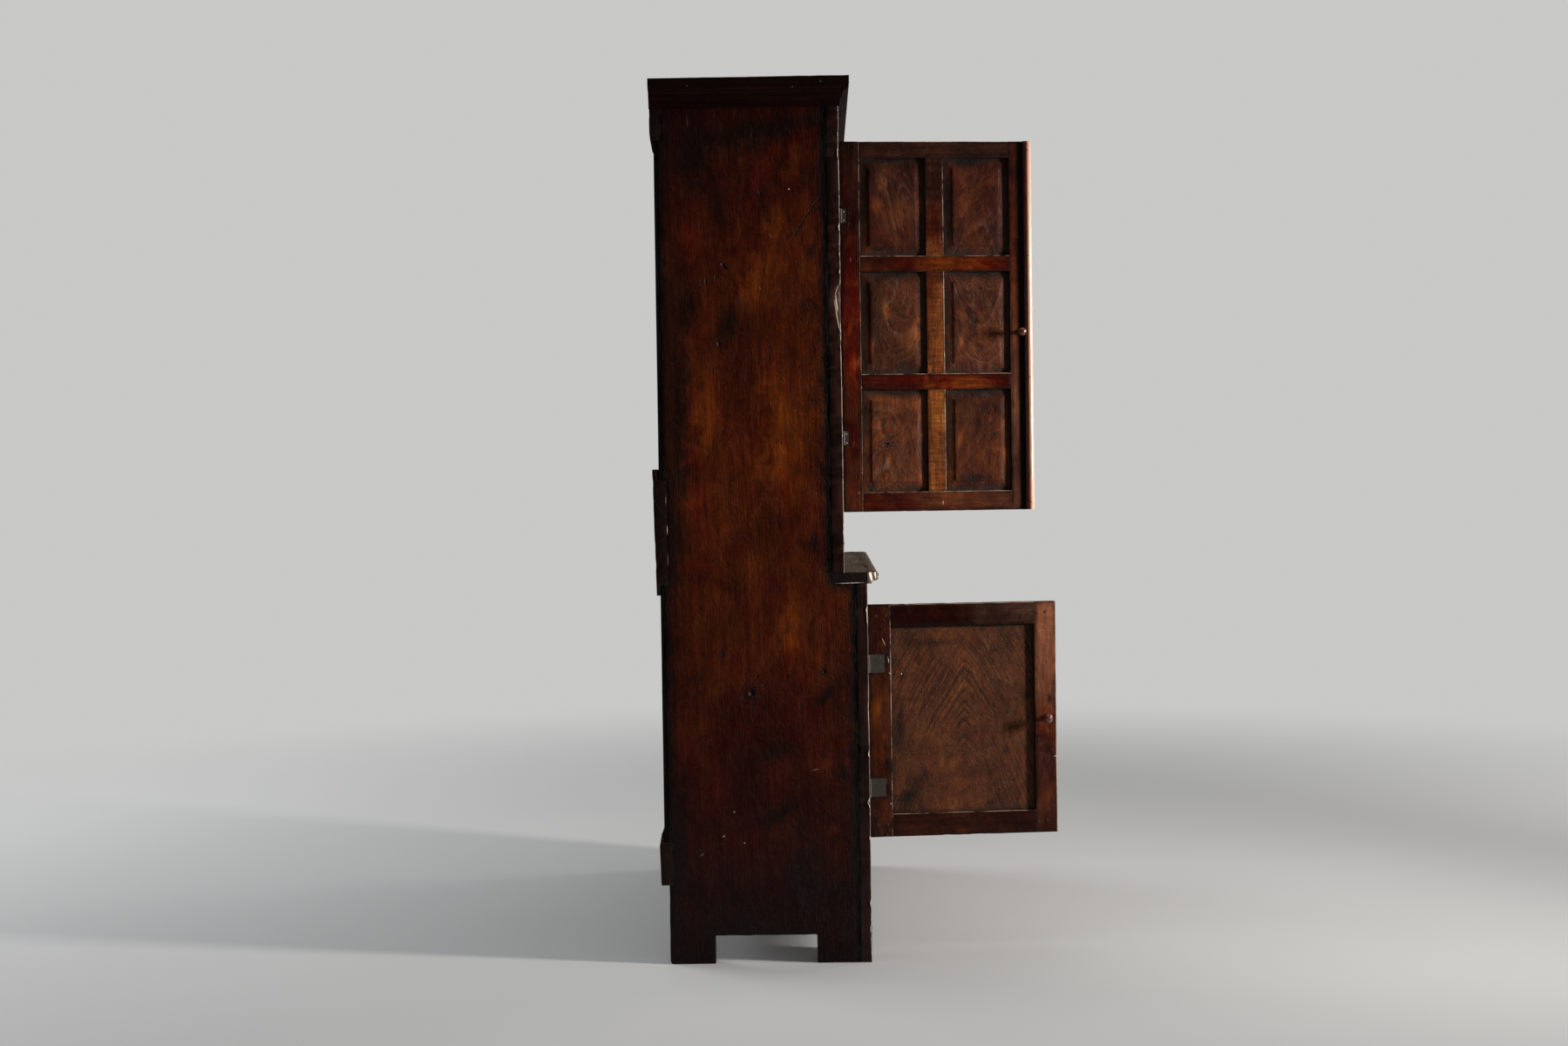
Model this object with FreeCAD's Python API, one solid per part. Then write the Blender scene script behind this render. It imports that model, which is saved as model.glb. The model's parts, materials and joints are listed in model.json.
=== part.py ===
"""Two-stage oak court cupboard with six-panel doors above and single-panel doors below.

Millimetres. +Z is up, the front faces -Y, and X runs to the right as seen from the front. The origin
lies on the floor under the middle of the outline of the whole piece as it stands with its two
left-hand doors open.
"""

import FreeCAD
import Part
import os
from math import cos, radians, sin, sqrt

V = FreeCAD.Vector
UP = V(0, 0, 1)
BACK = V(0, 1, 0)
RIGHT = V(1, 0, 0)
MIDDLE = V(0, 0, 0)

# Clearances
joint_gap = 0.2  # round a tenon, a tongue or a housed end
running_gap = 0.08  # between a hinge pin and its knuckle
slide_gap = 0.3  # round a turning spindle, a bolt and a peg
door_gap = 2.0  # round each door and between a pair
stop_gap = 1.0  # between a closed door and the shelf edge that stops it
overrun = 5.0  # how far a cutting solid passes a face

# Doors
door_width = 430.0
upper_door_height = 834.0
lower_door_height = 528.0
door_thickness = 24.0
upper_open_angle = 84.0  # how far the left-hand doors stand open
lower_open_angle = 84.0

# Case
front_stile_width = 112.0
side_thickness = 27.0
upper_depth = 397.0
lower_depth = 447.0
upper_frame_thickness = 28.0
lower_frame_thickness = 25.0
top_board_thickness = 16.5
waist_thickness = 25.5
bottom_board_thickness = 20.0
shelf_thickness = 18.0
bottom_board_drop = 6.0  # below the upper edge of the apron rail
housing_depth = 8.0  # of the grooves in the side boards that hold boards and shelves

# Heights of the front frame, from the floor up
apron_clearance = 63.0
apron_rail_height = 191.5
lower_top_rail_height = 53.0
upper_bottom_rail_height = 128.3
upper_top_rail_height = 103.2

# Feet cut in the side boards
foot_arch_height = 63.0
back_foot_width = 100.0
front_foot_width = 96.0
foot_corner_radius = 8.0
arch_corner_radius = 4.0

# Front frame joints
frame_tenon_length = 55.0
frame_tenon_thickness = 9.0
frame_tenon_shoulder = 12.0
frame_peg_radius = 3.6
frame_peg_inset = 16.0  # from the rail's shoulder
frame_peg_proud = 0.8
side_peg_radius = 4.2
side_peg_depth = 32.0  # into the edge of the side board
upper_side_peg_shares = (0.06, 0.36, 0.66, 0.93)
lower_side_peg_shares = (0.09, 0.5, 0.93)

# Back
back_board_thickness = 10.0
back_board_gap = 1.2
back_board_shares = (0.2, 0.19, 0.23, 0.17, 0.21)
back_rail_lip = 8.0  # stands outside the boards
back_rail_notch = 10.0  # let into the back edges of the side boards
back_rail_tuck = 22.0  # how far the boards run in behind a lip
back_lip_tip = 2.5
back_lip_taper = 30.0
back_top_rail_height = 139.5
back_middle_rail_height = 279.0
back_middle_rail_below_waist = 20.5
back_bottom_rail_height = 118.0
back_bottom_rail_below_board = 53.0

# Cornice
cornice_height = 63.0
cornice_projection = 24.0
cornice_back_overrun = 19.0
cornice_fillet_height = 17.0
cornice_foot = 3.0
cornice_foot_height = 4.0
cornice_cove_reach = 8.0
cornice_cove_top = 22.5
cornice_break = 1.6
cornice_break_top = 25.0
cornice_ogee_bend = 3.2

# Moulding on the front edge of the waist board
nosing_projection = 26.0
nosing_round = 7.0
nosing_band_height = 19.0
nosing_quirk = 4.5
nosing_foot = 10.0
nosing_clip = 21.0  # how far each end is cut back at its front

# Shelves, by the height of their upper faces above the compartment floor as shares of its height
upper_shelf_shares = (0.32, 0.63)
lower_shelf_share = 0.63

# Upper doors
upper_hinge_stile_width = 42.0
upper_meeting_stile_width = 46.0
upper_door_top_rail_height = 37.0
upper_door_bottom_rail_height = 44.0
upper_cross_rail_height = 36.0
muntin_width = 40.0
row_shares = (0.3392, 0.3377, 0.3231)  # heights of the three rows of panels, from the lowest up

# Lower doors
lower_hinge_stile_width = 50.0
lower_meeting_stile_width = 49.0
lower_door_top_rail_height = 50.0
lower_door_bottom_rail_height = 52.0

# Door joints and panels
door_tenon_length = 32.0
door_tenon_thickness = 7.0
tenon_above_groove = 1.5  # a door tenon keeps this far inside the panel grooves
stub_tenon_length = 12.0
groove_depth = 8.0
groove_width = 5.0
groove_setback = 8.5  # from the outer face of the door
panel_play = 1.5  # free depth left in a groove
panel_fit = 0.25  # free width left in a groove, on each side
bevel_width = 23.0
field_setback = 3.0  # from the outer face of the door to the raised field
field_step = 1.2
raised_panel_back = 15.5  # from the outer face of the door to the back of a raised panel
flat_panel_back = 17.5
back_bevel_width = 26.0

# Moulded strip that covers the meeting of the upper doors
strip_width = 20.0
strip_thickness = 9.0
strip_edge = 2.2
strip_overhang = 5.0
strip_relief = 0.5

# Hinges
hinge_axis_proud = 3.5  # axis in front of the outer faces
knuckle_radius = 3.3
hinge_pin_radius = 1.5
hinge_pin_head_radius = 2.6
hinge_pin_head = 1.2
leaf_thickness = 2.0
leaf_sink = 1.6
leaf_shoulder = 4.0
leaf_setback = 1.0  # of a plate from the edge of the wood, clear of the other leaf's knuckles
knuckle_gap = 0.4
upper_leaf_width = 11.0
upper_leaf_height = 31.0
lower_leaf_width = 36.0
lower_leaf_height = 41.0
upper_hinge_inset = 167.0  # hinge centre from the nearer end of an upper door
lower_hinge_inset_top = 133.0
lower_hinge_inset_bottom = 113.0

# Knobs and catches
upper_knob_radius = 9.5
lower_knob_radius = 11.5
knob_neck_radius = 4.6
knob_base_radius = 7.0
knob_base_thickness = 2.5
knob_neck_length = 9.5
spindle_radius = 3.6
blind_shank_depth = 17.0
upper_knob_share = 0.483  # height of the knob on the door
lower_knob_share = 0.499
catch_length = 48.0
catch_width = 13.0
catch_thickness = 3.0
catch_washer = 1.4
catch_washer_radius = 7.5

# Bolts inside the right-hand doors
bolt_radius = 4.0
bolt_travel = 26.0
bolt_nose = 14.0  # length above its plate when it is drawn down
bolt_tail = 22.0  # length below its plate
bolt_top_inset = 12.0  # its end below the top of the door
bolt_grip_radius = 3.2
bolt_grip_length = 13.0
bolt_clear_of_rail = 0.6
staple_plate_thickness = 2.0
staple_plate_width = 22.0
staple_width = 9.0
staple_wall = 2.2
staple_margin = 4.0  # from an end of the plate

# Planes and levels worked out from the sizes above
case_width = 2 * (front_stile_width + door_gap + door_width) + door_gap
side_x = case_width / 2
opening_x = side_x - front_stile_width
inner_x = side_x - side_thickness
hinge_x = opening_x - door_gap / 2
door_hinge_x = opening_x - door_gap
door_tenon_shoulder = groove_depth + tenon_above_groove
door_meeting_x = door_gap / 2

door_reach = door_width + door_gap / 2
front_reach = hinge_axis_proud * (1 - cos(radians(lower_open_angle)))
front_reach += door_reach * sin(radians(lower_open_angle))
lower_front = (front_reach - lower_depth - cornice_back_overrun) / 2
upper_front = lower_front + lower_depth - upper_depth
back = lower_front + lower_depth
side_lower_front = lower_front + lower_frame_thickness
side_upper_front = upper_front + upper_frame_thickness
rail_back_inside = back - back_rail_notch
rail_back_outside = back + back_board_thickness + back_rail_lip

apron_top = apron_clearance + apron_rail_height
lower_door_bottom = apron_top + door_gap
lower_rail_bottom = lower_door_bottom + lower_door_height + door_gap
waist_bottom = lower_rail_bottom + lower_top_rail_height
waist_top = waist_bottom + waist_thickness
upper_rail_top = waist_top + upper_bottom_rail_height
upper_door_bottom = upper_rail_top + door_gap
frieze_bottom = upper_door_bottom + upper_door_height + door_gap
case_top = frieze_bottom + upper_top_rail_height
whole_top = case_top + top_board_thickness
bottom_board_top = apron_top - bottom_board_drop
bottom_board_bottom = bottom_board_top - bottom_board_thickness
upper_space = case_top - waist_top
lower_space = waist_bottom - bottom_board_top
back_middle_bottom = waist_bottom - back_middle_rail_below_waist
back_middle_top = back_middle_bottom + back_middle_rail_height
back_bottom_bottom = bottom_board_bottom - back_bottom_rail_below_board
back_bottom_top = back_bottom_bottom + back_bottom_rail_height
back_top_bottom = case_top - back_top_rail_height
peg_ceiling = whole_top - cornice_height - 2 * side_peg_radius


def box(x0, x1, y0, y1, z0, z1):
    return Part.makeBox(x1 - x0, y1 - y0, z1 - z0, V(x0, y0, z0))


def prism(points, direction):
    """A closed outline of points, extruded along a vector."""
    wire = Part.makePolygon(points + points[:1])
    return Part.Face(wire).extrude(direction)


def curved_prism(edges, direction):
    return Part.Face(Part.Wire(edges)).extrude(direction)


def line(a, b):
    return Part.LineSegment(a, b).toShape()


def arc(a, through, b):
    return Part.Arc(a, through, b).toShape()


def bulge(a, b, height, side):
    """An arc from a to b that stands off its chord by a height, towards a side vector."""
    return arc(a, (a + b) * 0.5 + side * height, b)


def rod(radius, length, start, direction):
    return Part.makeCylinder(radius, length, start, direction)


def cut_all(shape, tools):
    return shape.cut(tools) if tools else shape


def whole(shape):
    """The one solid that a boolean leaves, with its coplanar faces joined."""
    return shape.removeSplitter()


def mirrored(shape):
    return shape.mirror(MIDDLE, RIGHT)


def group(shapes):
    return Part.makeCompound(shapes)


# Side boards


def side_board():
    arch_back = back - back_foot_width
    arch_front = side_lower_front + front_foot_width
    outline = [
        V(-side_x, side_lower_front, 0),
        V(-side_x, arch_front, 0),
        V(-side_x, arch_front, foot_arch_height),
        V(-side_x, arch_back, foot_arch_height),
        V(-side_x, arch_back, 0),
        V(-side_x, back, 0),
        V(-side_x, back, case_top),
        V(-side_x, side_upper_front, case_top),
        V(-side_x, side_upper_front, waist_bottom),
        V(-side_x, side_lower_front, waist_bottom),
    ]
    board = prism(outline, RIGHT * side_thickness)
    heel = [e for e in board.Edges if along_x_at(e, back, 0)]
    board = board.makeFillet(foot_corner_radius, heel)
    corners = [
        e
        for e in board.Edges
        if along_x_at(e, arch_front, foot_arch_height) or along_x_at(e, arch_back, foot_arch_height)
    ]
    board = board.makeFillet(arch_corner_radius, corners)
    tools = [housing(z0, z1, y0) for z0, z1, y0 in housed_boards()]
    for z0, z1 in back_rail_notches():
        tools.append(
            box(-side_x - overrun, -inner_x + overrun, rail_back_inside, back + overrun, z0, z1)
        )
    tools += [peg_hole(p) for p in side_pegs(-1)]
    return cut_all(board, tools)


def along_x_at(edge, y, z):
    """True for an edge that runs along X through a given y and z."""
    ends = [v.Point for v in edge.Vertexes]
    return len(ends) == 2 and all(
        abs(p.y - y) < joint_gap and abs(p.z - z) < joint_gap for p in ends
    )


def housed_boards():
    """Lower and upper face and front edge of each board that is housed in the side boards."""
    shelves = [(z, z + shelf_thickness, y) for z, y in upper_shelf_places()]
    shelves.append((lower_shelf_bottom(), lower_shelf_bottom() + shelf_thickness, shelf_front_low()))
    return [
        (waist_bottom, waist_top, side_upper_front),
        (bottom_board_bottom, bottom_board_top, side_lower_front),
    ] + shelves


def housing(z0, z1, y0):
    """A groove across the inner face of the left side board, open at the back."""
    return box(
        -inner_x - housing_depth - joint_gap,
        -inner_x + overrun,
        y0 - joint_gap,
        back + overrun,
        z0,
        z1 + joint_gap,
    )


def back_rail_notches():
    """The heights at which each back rail is let into the side boards, past its thin lips."""
    return [
        (back_top_bottom + back_rail_tuck, case_top + overrun),
        (back_middle_bottom + back_rail_tuck, back_middle_top - back_rail_tuck),
        (back_bottom_bottom, back_bottom_top - back_rail_tuck),
    ]


# Boards and shelves


def upper_shelf_places():
    """Underside and front edge of each upper shelf."""
    front = upper_front + door_thickness + stop_gap
    return [
        (waist_top + share * upper_space - shelf_thickness, front) for share in upper_shelf_shares
    ]


def lower_shelf_bottom():
    return bottom_board_top + lower_shelf_share * lower_space - shelf_thickness


def shelf_front_low():
    return lower_front + door_thickness + stop_gap


def shelf(z, front, frame_thickness, frame_front):
    """A shelf whose front edge stops the doors, notched round the stiles of the front frame."""
    half = inner_x + housing_depth
    behind_frame = frame_front + frame_thickness + joint_gap
    board = box(-half, half, behind_frame, back, z, z + shelf_thickness)
    nose = box(
        -opening_x + door_gap,
        opening_x - door_gap,
        front,
        behind_frame,
        z,
        z + shelf_thickness,
    )
    return whole(board.fuse(nose)) if behind_frame > front else board


def top_board():
    return box(-side_x, side_x, upper_front, rail_back_outside, case_top, whole_top)


def waist_board():
    half = inner_x + housing_depth
    lip = box(-side_x, side_x, lower_front, side_upper_front, waist_bottom, waist_top)
    body = box(-half, half, side_upper_front, rail_back_inside, waist_bottom, waist_top)
    return whole(lip.fuse(body))


def waist_moulding():
    """The moulded strip planted on the front edge of the waist board, with its ends clipped."""
    top = waist_top
    low = waist_bottom
    face = lower_front
    front = face - nosing_projection
    band = top - nosing_band_height
    x = -side_x
    quirk = face - nosing_projection + nosing_quirk + nosing_round
    foot = face - nosing_foot
    belly = V(x, front, (top + band) / 2)
    edges = [
        line(V(x, face, low), V(x, face, top)),
        line(V(x, face, top), V(x, front + nosing_round, top)),
        bulge(V(x, front + nosing_round, top), belly, nosing_round / 3, V(0, -1, 1) / sqrt(2)),
        bulge(belly, V(x, front + nosing_quirk, band), nosing_round / 5, V(0, -1, -1) / sqrt(2)),
        line(V(x, front + nosing_quirk, band), V(x, quirk, band)),
        bulge(V(x, quirk, band), V(x, foot, low), nosing_round / 5, V(0, 1, 1) / sqrt(2)),
        line(V(x, foot, low), V(x, face, low)),
    ]
    strip = curved_prism(edges, RIGHT * case_width)
    clip = [
        V(x - overrun, face, low - overrun),
        V(x, face, low - overrun),
        V(x + nosing_clip, front, low - overrun),
        V(x + nosing_clip, front - overrun, low - overrun),
        V(x - overrun, front - overrun, low - overrun),
    ]
    cutter = prism(clip, UP * (waist_thickness + 2 * overrun))
    return strip.cut([cutter, mirrored(cutter)])


def bottom_board():
    half = inner_x + housing_depth
    return box(-half, half, side_lower_front, rail_back_inside, bottom_board_bottom, bottom_board_top)


# Back


def back_rail(z0, z1, lip_below, lip_above, taper_below, taper_above):
    """A back rail along its whole length, with thin lips that hold the back boards."""
    inside = rail_back_inside
    boards = back + back_board_thickness
    outside = rail_back_outside
    tip = boards + back_lip_tip
    y_z = []
    if lip_below:
        y_z += [(inside, z0 + back_rail_tuck), (boards, z0 + back_rail_tuck), (boards, z0)]
    else:
        y_z += [(inside, z0)]
    y_z += [(tip, z0), (outside, z0 + back_lip_taper)] if taper_below else [(outside, z0)]
    y_z += [(outside, z1 - back_lip_taper), (tip, z1)] if taper_above else [(outside, z1)]
    if lip_above:
        y_z += [(boards, z1), (boards, z1 - back_rail_tuck), (inside, z1 - back_rail_tuck)]
    else:
        y_z += [(inside, z1)]
    return prism([V(-side_x, y, z) for y, z in y_z], RIGHT * case_width)


def back_boards(z0, z1):
    """A row of upright boards side by side, tucked behind the lips of the rails above and below."""
    boards = []
    x = -side_x
    for share in back_board_shares:
        width = share * case_width
        left = x + back_board_gap / 2
        right = x + width - back_board_gap / 2
        outer = back + back_board_thickness - joint_gap
        boards.append(box(left, right, back, outer, z0 + joint_gap, z1 - joint_gap))
        x += width
    return group(boards)


# Front frame


def frame_tenon(x_shoulder, outward, front, thickness, z0, z1):
    """A tenon on a rail's end. outward is -1 at the left end and 1 at the right end."""
    centre = front + thickness / 2
    x_end = x_shoulder + outward * frame_tenon_length
    return box(
        min(x_shoulder, x_end),
        max(x_shoulder, x_end),
        centre - frame_tenon_thickness / 2,
        centre + frame_tenon_thickness / 2,
        z0 + frame_tenon_shoulder,
        z1 - frame_tenon_shoulder,
    )


def frame_mortise(front, thickness, z0, z1):
    """The mortise in a left-hand stile for such a tenon."""
    centre = front + thickness / 2
    return box(
        -opening_x - frame_tenon_length - joint_gap,
        -opening_x + overrun,
        centre - frame_tenon_thickness / 2 - joint_gap,
        centre + frame_tenon_thickness / 2 + joint_gap,
        z0 + frame_tenon_shoulder - joint_gap,
        z1 - frame_tenon_shoulder + joint_gap,
    )


def frame_rail(front, thickness, z0, z1):
    rail = box(-opening_x, opening_x, front, front + thickness, z0, z1)
    for outward in (-1, 1):
        shoulder = outward * opening_x
        rail = rail.fuse(frame_tenon(shoulder, outward, front, thickness, z0, z1))
    rail = whole(rail)
    return cut_all(rail, [peg_hole(p) for p in joint_pegs(front, thickness, z0, z1)])


def frame_stile(front, thickness, z0, z1, rails, side_peg_list):
    """A left-hand stile with a mortise for each rail, and its peg holes."""
    stile = box(-side_x, -opening_x, front, front + thickness, z0, z1)
    tools = [frame_mortise(front, thickness, low, high) for low, high in rails]
    for low, high in rails:
        tools += [peg_hole(p) for p in joint_pegs(front, thickness, low, high) if p[1].x < 0]
    tools += [peg_hole(p) for p in side_peg_list]
    return cut_all(stile, tools)


def joint_pegs(front, thickness, z0, z1):
    """Radius, start and length of the two pegs through each end of a rail."""
    pegs = []
    z_places = (
        z0 + frame_tenon_shoulder + 2 * frame_peg_radius,
        min(z1 - frame_tenon_shoulder - 2 * frame_peg_radius, peg_ceiling),
    )
    for outward in (-1, 1):
        for n, z in enumerate(z_places):
            x = outward * (opening_x + frame_peg_inset * (1 + 0.5 * n))
            start = V(x, front - frame_peg_proud, z)
            pegs.append((frame_peg_radius, start, thickness + frame_peg_proud))
    return pegs


def side_pegs(outward):
    """The pegs that hold the stiles to the edge of a side board."""
    x = outward * (side_x - side_thickness / 2)
    pegs = []
    for share in upper_side_peg_shares:
        z = min(waist_top + share * (case_top - waist_top), peg_ceiling)
        start = V(x, upper_front - frame_peg_proud, z)
        pegs.append((side_peg_radius, start, upper_frame_thickness + side_peg_depth + frame_peg_proud))
    for share in lower_side_peg_shares:
        start = V(x, lower_front - frame_peg_proud, share * waist_bottom)
        pegs.append((side_peg_radius, start, lower_frame_thickness + side_peg_depth + frame_peg_proud))
    return pegs


def peg_hole(peg):
    radius, start, length = peg
    return rod(radius + joint_gap / 2, length + joint_gap, start, BACK)


def peg(place):
    radius, start, length = place
    shaft = rod(radius, length, start, BACK)
    return shaft.makeChamfer(frame_peg_proud / 2, [e for e in shaft.Edges if at_y(e, start.y)])


def at_y(edge, y):
    bounds = edge.BoundBox
    return abs(bounds.YMin - y) < joint_gap and abs(bounds.YMax - y) < joint_gap


def frame_rails():
    """Front, thickness and heights of each rail of the front frame."""
    return {
        "upper_top_rail": (upper_front, upper_frame_thickness, frieze_bottom, case_top),
        "upper_bottom_rail": (upper_front, upper_frame_thickness, waist_top, upper_rail_top),
        "lower_top_rail": (lower_front, lower_frame_thickness, lower_rail_bottom, waist_bottom),
        "lower_bottom_rail": (lower_front, lower_frame_thickness, apron_clearance, apron_top),
    }


def frame_pegs():
    places = []
    for rail in frame_rails().values():
        places += joint_pegs(*rail)
    for outward in (-1, 1):
        places += side_pegs(outward)
    return group([peg(p) for p in places])


# Cornice


def cornice_outline(origin, out):
    """Edges of the cornice section. origin is its lowest point on the case and out points away."""

    def at(reach, height):
        return origin + out * reach + UP * height

    fillet_bottom = cornice_height - cornice_fillet_height
    cove_chord = at(cornice_foot, cornice_foot_height), at(cornice_cove_reach, cornice_cove_top)
    break_out = cornice_cove_reach + cornice_break
    ogee_low = at(break_out, cornice_break_top)
    ogee_high = at(cornice_projection - cornice_break, fillet_bottom)
    ogee_middle = (ogee_low + ogee_high) * 0.5
    inward = (UP - out) / sqrt(2)
    return [
        line(at(0, 0), at(cornice_foot, 0)),
        line(at(cornice_foot, 0), cove_chord[0]),
        bulge(cove_chord[0], cove_chord[1], cornice_break, inward),
        line(cove_chord[1], at(break_out, cornice_cove_top)),
        line(at(break_out, cornice_cove_top), ogee_low),
        bulge(ogee_low, ogee_middle, cornice_ogee_bend / 2, inward),
        bulge(ogee_middle, ogee_high, cornice_ogee_bend / 2, inward * -1),
        line(ogee_high, at(cornice_projection, fillet_bottom)),
        line(at(cornice_projection, fillet_bottom), at(cornice_projection, cornice_height)),
        line(at(cornice_projection, cornice_height), at(0, cornice_height)),
        line(at(0, cornice_height), at(0, 0)),
    ]


def cornice_mitre(keep_front):
    """A wedge outside the left front corner that mitres the front length or the side return."""
    low = whole_top - cornice_height - overrun
    reach = cornice_projection + overrun
    corner = V(-side_x, upper_front, low)
    outer = corner + V(-reach, -reach, 0)
    side = corner + V(-reach, 0, 0) if keep_front else corner + V(0, -reach, 0)
    return prism([corner, outer, side], UP * (cornice_height + 2 * overrun))


def cornice_front():
    low = whole_top - cornice_height
    start = V(-side_x - cornice_projection, upper_front, low)
    length = case_width + 2 * cornice_projection
    strip = curved_prism(cornice_outline(start, V(0, -1, 0)), RIGHT * length)
    wedge = cornice_mitre(True)
    return strip.cut([wedge, mirrored(wedge)])


def cornice_return():
    low = whole_top - cornice_height
    start = V(-side_x, upper_front - cornice_projection, low)
    length = back + cornice_back_overrun - start.y
    strip = curved_prism(cornice_outline(start, V(-1, 0, 0)), BACK * length)
    return strip.cut([cornice_mitre(False)])


# Doors, modelled closed at the left and mirrored for the right


def groove(x0, x1, front, z0, z1):
    """A panel groove. The spans x0 to x1 and z0 to z1 are its length and its reach into the wood."""
    y0 = front + groove_setback
    return box(x0, x1, y0, y0 + groove_width, z0, z1)


def door_stile(x0, x1, inner_at_right, front, z0, z1, rails):
    """A door stile with its groove and the mortises for its rails."""
    stile = box(x0, x1, front, front + door_thickness, z0, z1)
    edge = x1 if inner_at_right else x0
    inward = -1 if inner_at_right else 1
    near = edge - inward * overrun
    deep = edge + inward * groove_depth
    low = rails[0][1] - groove_depth
    high = rails[-1][0] + groove_depth
    tools = [groove(min(near, deep), max(near, deep), front, low, high)]
    mortise_end = edge + inward * (door_tenon_length + joint_gap)
    centre = front + door_thickness / 2
    for low, high in rails:
        tools.append(
            box(
                min(near, mortise_end),
                max(near, mortise_end),
                centre - door_tenon_thickness / 2 - joint_gap,
                centre + door_tenon_thickness / 2 + joint_gap,
                low + door_tenon_shoulder - joint_gap,
                high - door_tenon_shoulder + joint_gap,
            )
        )
    return cut_all(stile, tools)


def door_rail(x0, x1, front, z0, z1, groove_below, groove_above, muntin=None):
    """A door rail between the stiles, with tenons, panel grooves and mortises for muntins."""
    rail = box(x0, x1, front, front + door_thickness, z0, z1)
    centre = front + door_thickness / 2
    tenons = box(
        x0 - door_tenon_length,
        x1 + door_tenon_length,
        centre - door_tenon_thickness / 2,
        centre + door_tenon_thickness / 2,
        z0 + door_tenon_shoulder,
        z1 - door_tenon_shoulder,
    )
    tools = []
    if groove_below:
        tools.append(groove(x0 - overrun, x1 + overrun, front, z0 - overrun, z0 + groove_depth))
    if groove_above:
        tools.append(groove(x0 - overrun, x1 + overrun, front, z1 - groove_depth, z1 + overrun))
    rail = whole(rail.fuse(tenons))
    keep = []
    for tool in tools:
        bounds = tool.BoundBox
        keep.append(box(x0, x1, bounds.YMin, bounds.YMax, bounds.ZMin, bounds.ZMax))
    if muntin:
        for low, high in muntin_mortises(z0, z1, groove_below, groove_above):
            keep.append(
                box(
                    muntin[0] + stub_shoulder() - joint_gap,
                    muntin[1] - stub_shoulder() + joint_gap,
                    front + groove_setback,
                    front + groove_setback + groove_width,
                    low,
                    high,
                )
            )
    return cut_all(rail, keep)


def stub_shoulder():
    return muntin_width / 6


def muntin_mortises(z0, z1, below, above):
    deep = stub_tenon_length + joint_gap
    spans = []
    if below:
        spans.append((z0 - overrun, z0 + deep))
    if above:
        spans.append((z1 - deep, z1 + overrun))
    return spans


def muntin(x0, x1, front, z0, z1):
    """An upright bar between two rails, grooved on both sides, with a stub tenon at each end."""
    bar = box(x0, x1, front, front + door_thickness, z0, z1)
    stub_front = front + groove_setback + panel_fit
    stub = box(
        x0 + stub_shoulder(),
        x1 - stub_shoulder(),
        stub_front,
        stub_front + groove_width - 2 * panel_fit,
        z0 - stub_tenon_length,
        z1 + stub_tenon_length,
    )
    tools = [
        groove(x0 - overrun, x0 + groove_depth, front, z0 - overrun, z1 + overrun),
        groove(x1 - groove_depth, x1 + overrun, front, z0 - overrun, z1 + overrun),
    ]
    return whole(bar.cut(tools).fuse(stub))


def rectangle(x0, x1, z0, z1, y, inset):
    points = [
        V(x0 + inset, y, z0 + inset),
        V(x1 - inset, y, z0 + inset),
        V(x1 - inset, y, z1 - inset),
        V(x0 + inset, y, z1 - inset),
    ]
    return Part.makePolygon(points + points[:1])


def raised_panel(x0, x1, front, z0, z1):
    """A raised and fielded panel that fills an opening and reaches into the grooves round it."""
    reach = groove_depth - panel_play
    tongue_front = front + groove_setback + panel_fit
    tongue_back = front + groove_setback + groove_width - panel_fit
    back_face = front + raised_panel_back
    tongue = box(x0 - reach, x1 + reach, tongue_front, tongue_back, z0 - reach, z1 + reach)
    inner = box(x0 + panel_fit, x1 - panel_fit, tongue_back, back_face, z0 + panel_fit, z1 - panel_fit)
    step_face = front + field_setback + field_step
    bevel = Part.makeLoft(
        [
            rectangle(x0, x1, z0, z1, tongue_front, panel_fit),
            rectangle(x0, x1, z0, z1, step_face, bevel_width),
        ],
        True,
        True,
    )
    field = box(
        x0 + bevel_width,
        x1 - bevel_width,
        front + field_setback,
        tongue_front,
        z0 + bevel_width,
        z1 - bevel_width,
    )
    return whole(tongue.fuse([inner, bevel, field]))


def flat_panel(x0, x1, front, z0, z1):
    """A panel that is flat in front and bevelled behind."""
    reach = groove_depth - panel_play
    tongue_front = front + groove_setback + panel_fit
    tongue_back = front + groove_setback + groove_width - panel_fit
    tongue = box(x0 - reach, x1 + reach, tongue_front, tongue_back, z0 - reach, z1 + reach)
    swell = Part.makeLoft(
        [
            rectangle(x0, x1, z0, z1, tongue_back, panel_fit),
            rectangle(x0, x1, z0, z1, front + flat_panel_back, back_bevel_width),
        ],
        True,
        True,
    )
    return whole(tongue.fuse(swell))


def leaf_pocket(x_edge, inward, front, width, height, z):
    """The shallow recess for a hinge leaf. inward is the way the leaf runs from the door gap."""
    far = x_edge + inward * (width + joint_gap)
    near = x_edge - inward * overrun
    return box(
        min(near, far),
        max(near, far),
        front - overrun,
        front + leaf_sink,
        z - height / 2 - joint_gap,
        z + height / 2 + joint_gap,
    )


def knob_bore(x, front, z, depth):
    start = V(x, front - overrun, z)
    return rod(spindle_radius + slide_gap, depth + overrun, start, BACK)


def upper_layout():
    """The spans of the rails and muntins of an upper door, as heights and as widths."""
    z0 = upper_door_bottom
    z1 = z0 + upper_door_height
    clear = upper_door_height - upper_door_top_rail_height - upper_door_bottom_rail_height
    clear -= 2 * upper_cross_rail_height
    rails = [(z0, z0 + upper_door_bottom_rail_height)]
    for share in row_shares[:-1]:
        low = rails[-1][1] + share * clear
        rails.append((low, low + upper_cross_rail_height))
    rails.append((z1 - upper_door_top_rail_height, z1))
    left = -door_hinge_x + upper_hinge_stile_width
    right = -door_meeting_x - upper_meeting_stile_width
    middle = (left + right) / 2
    bar = (middle - muntin_width / 2, middle + muntin_width / 2)
    return rails, left, right, bar


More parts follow.
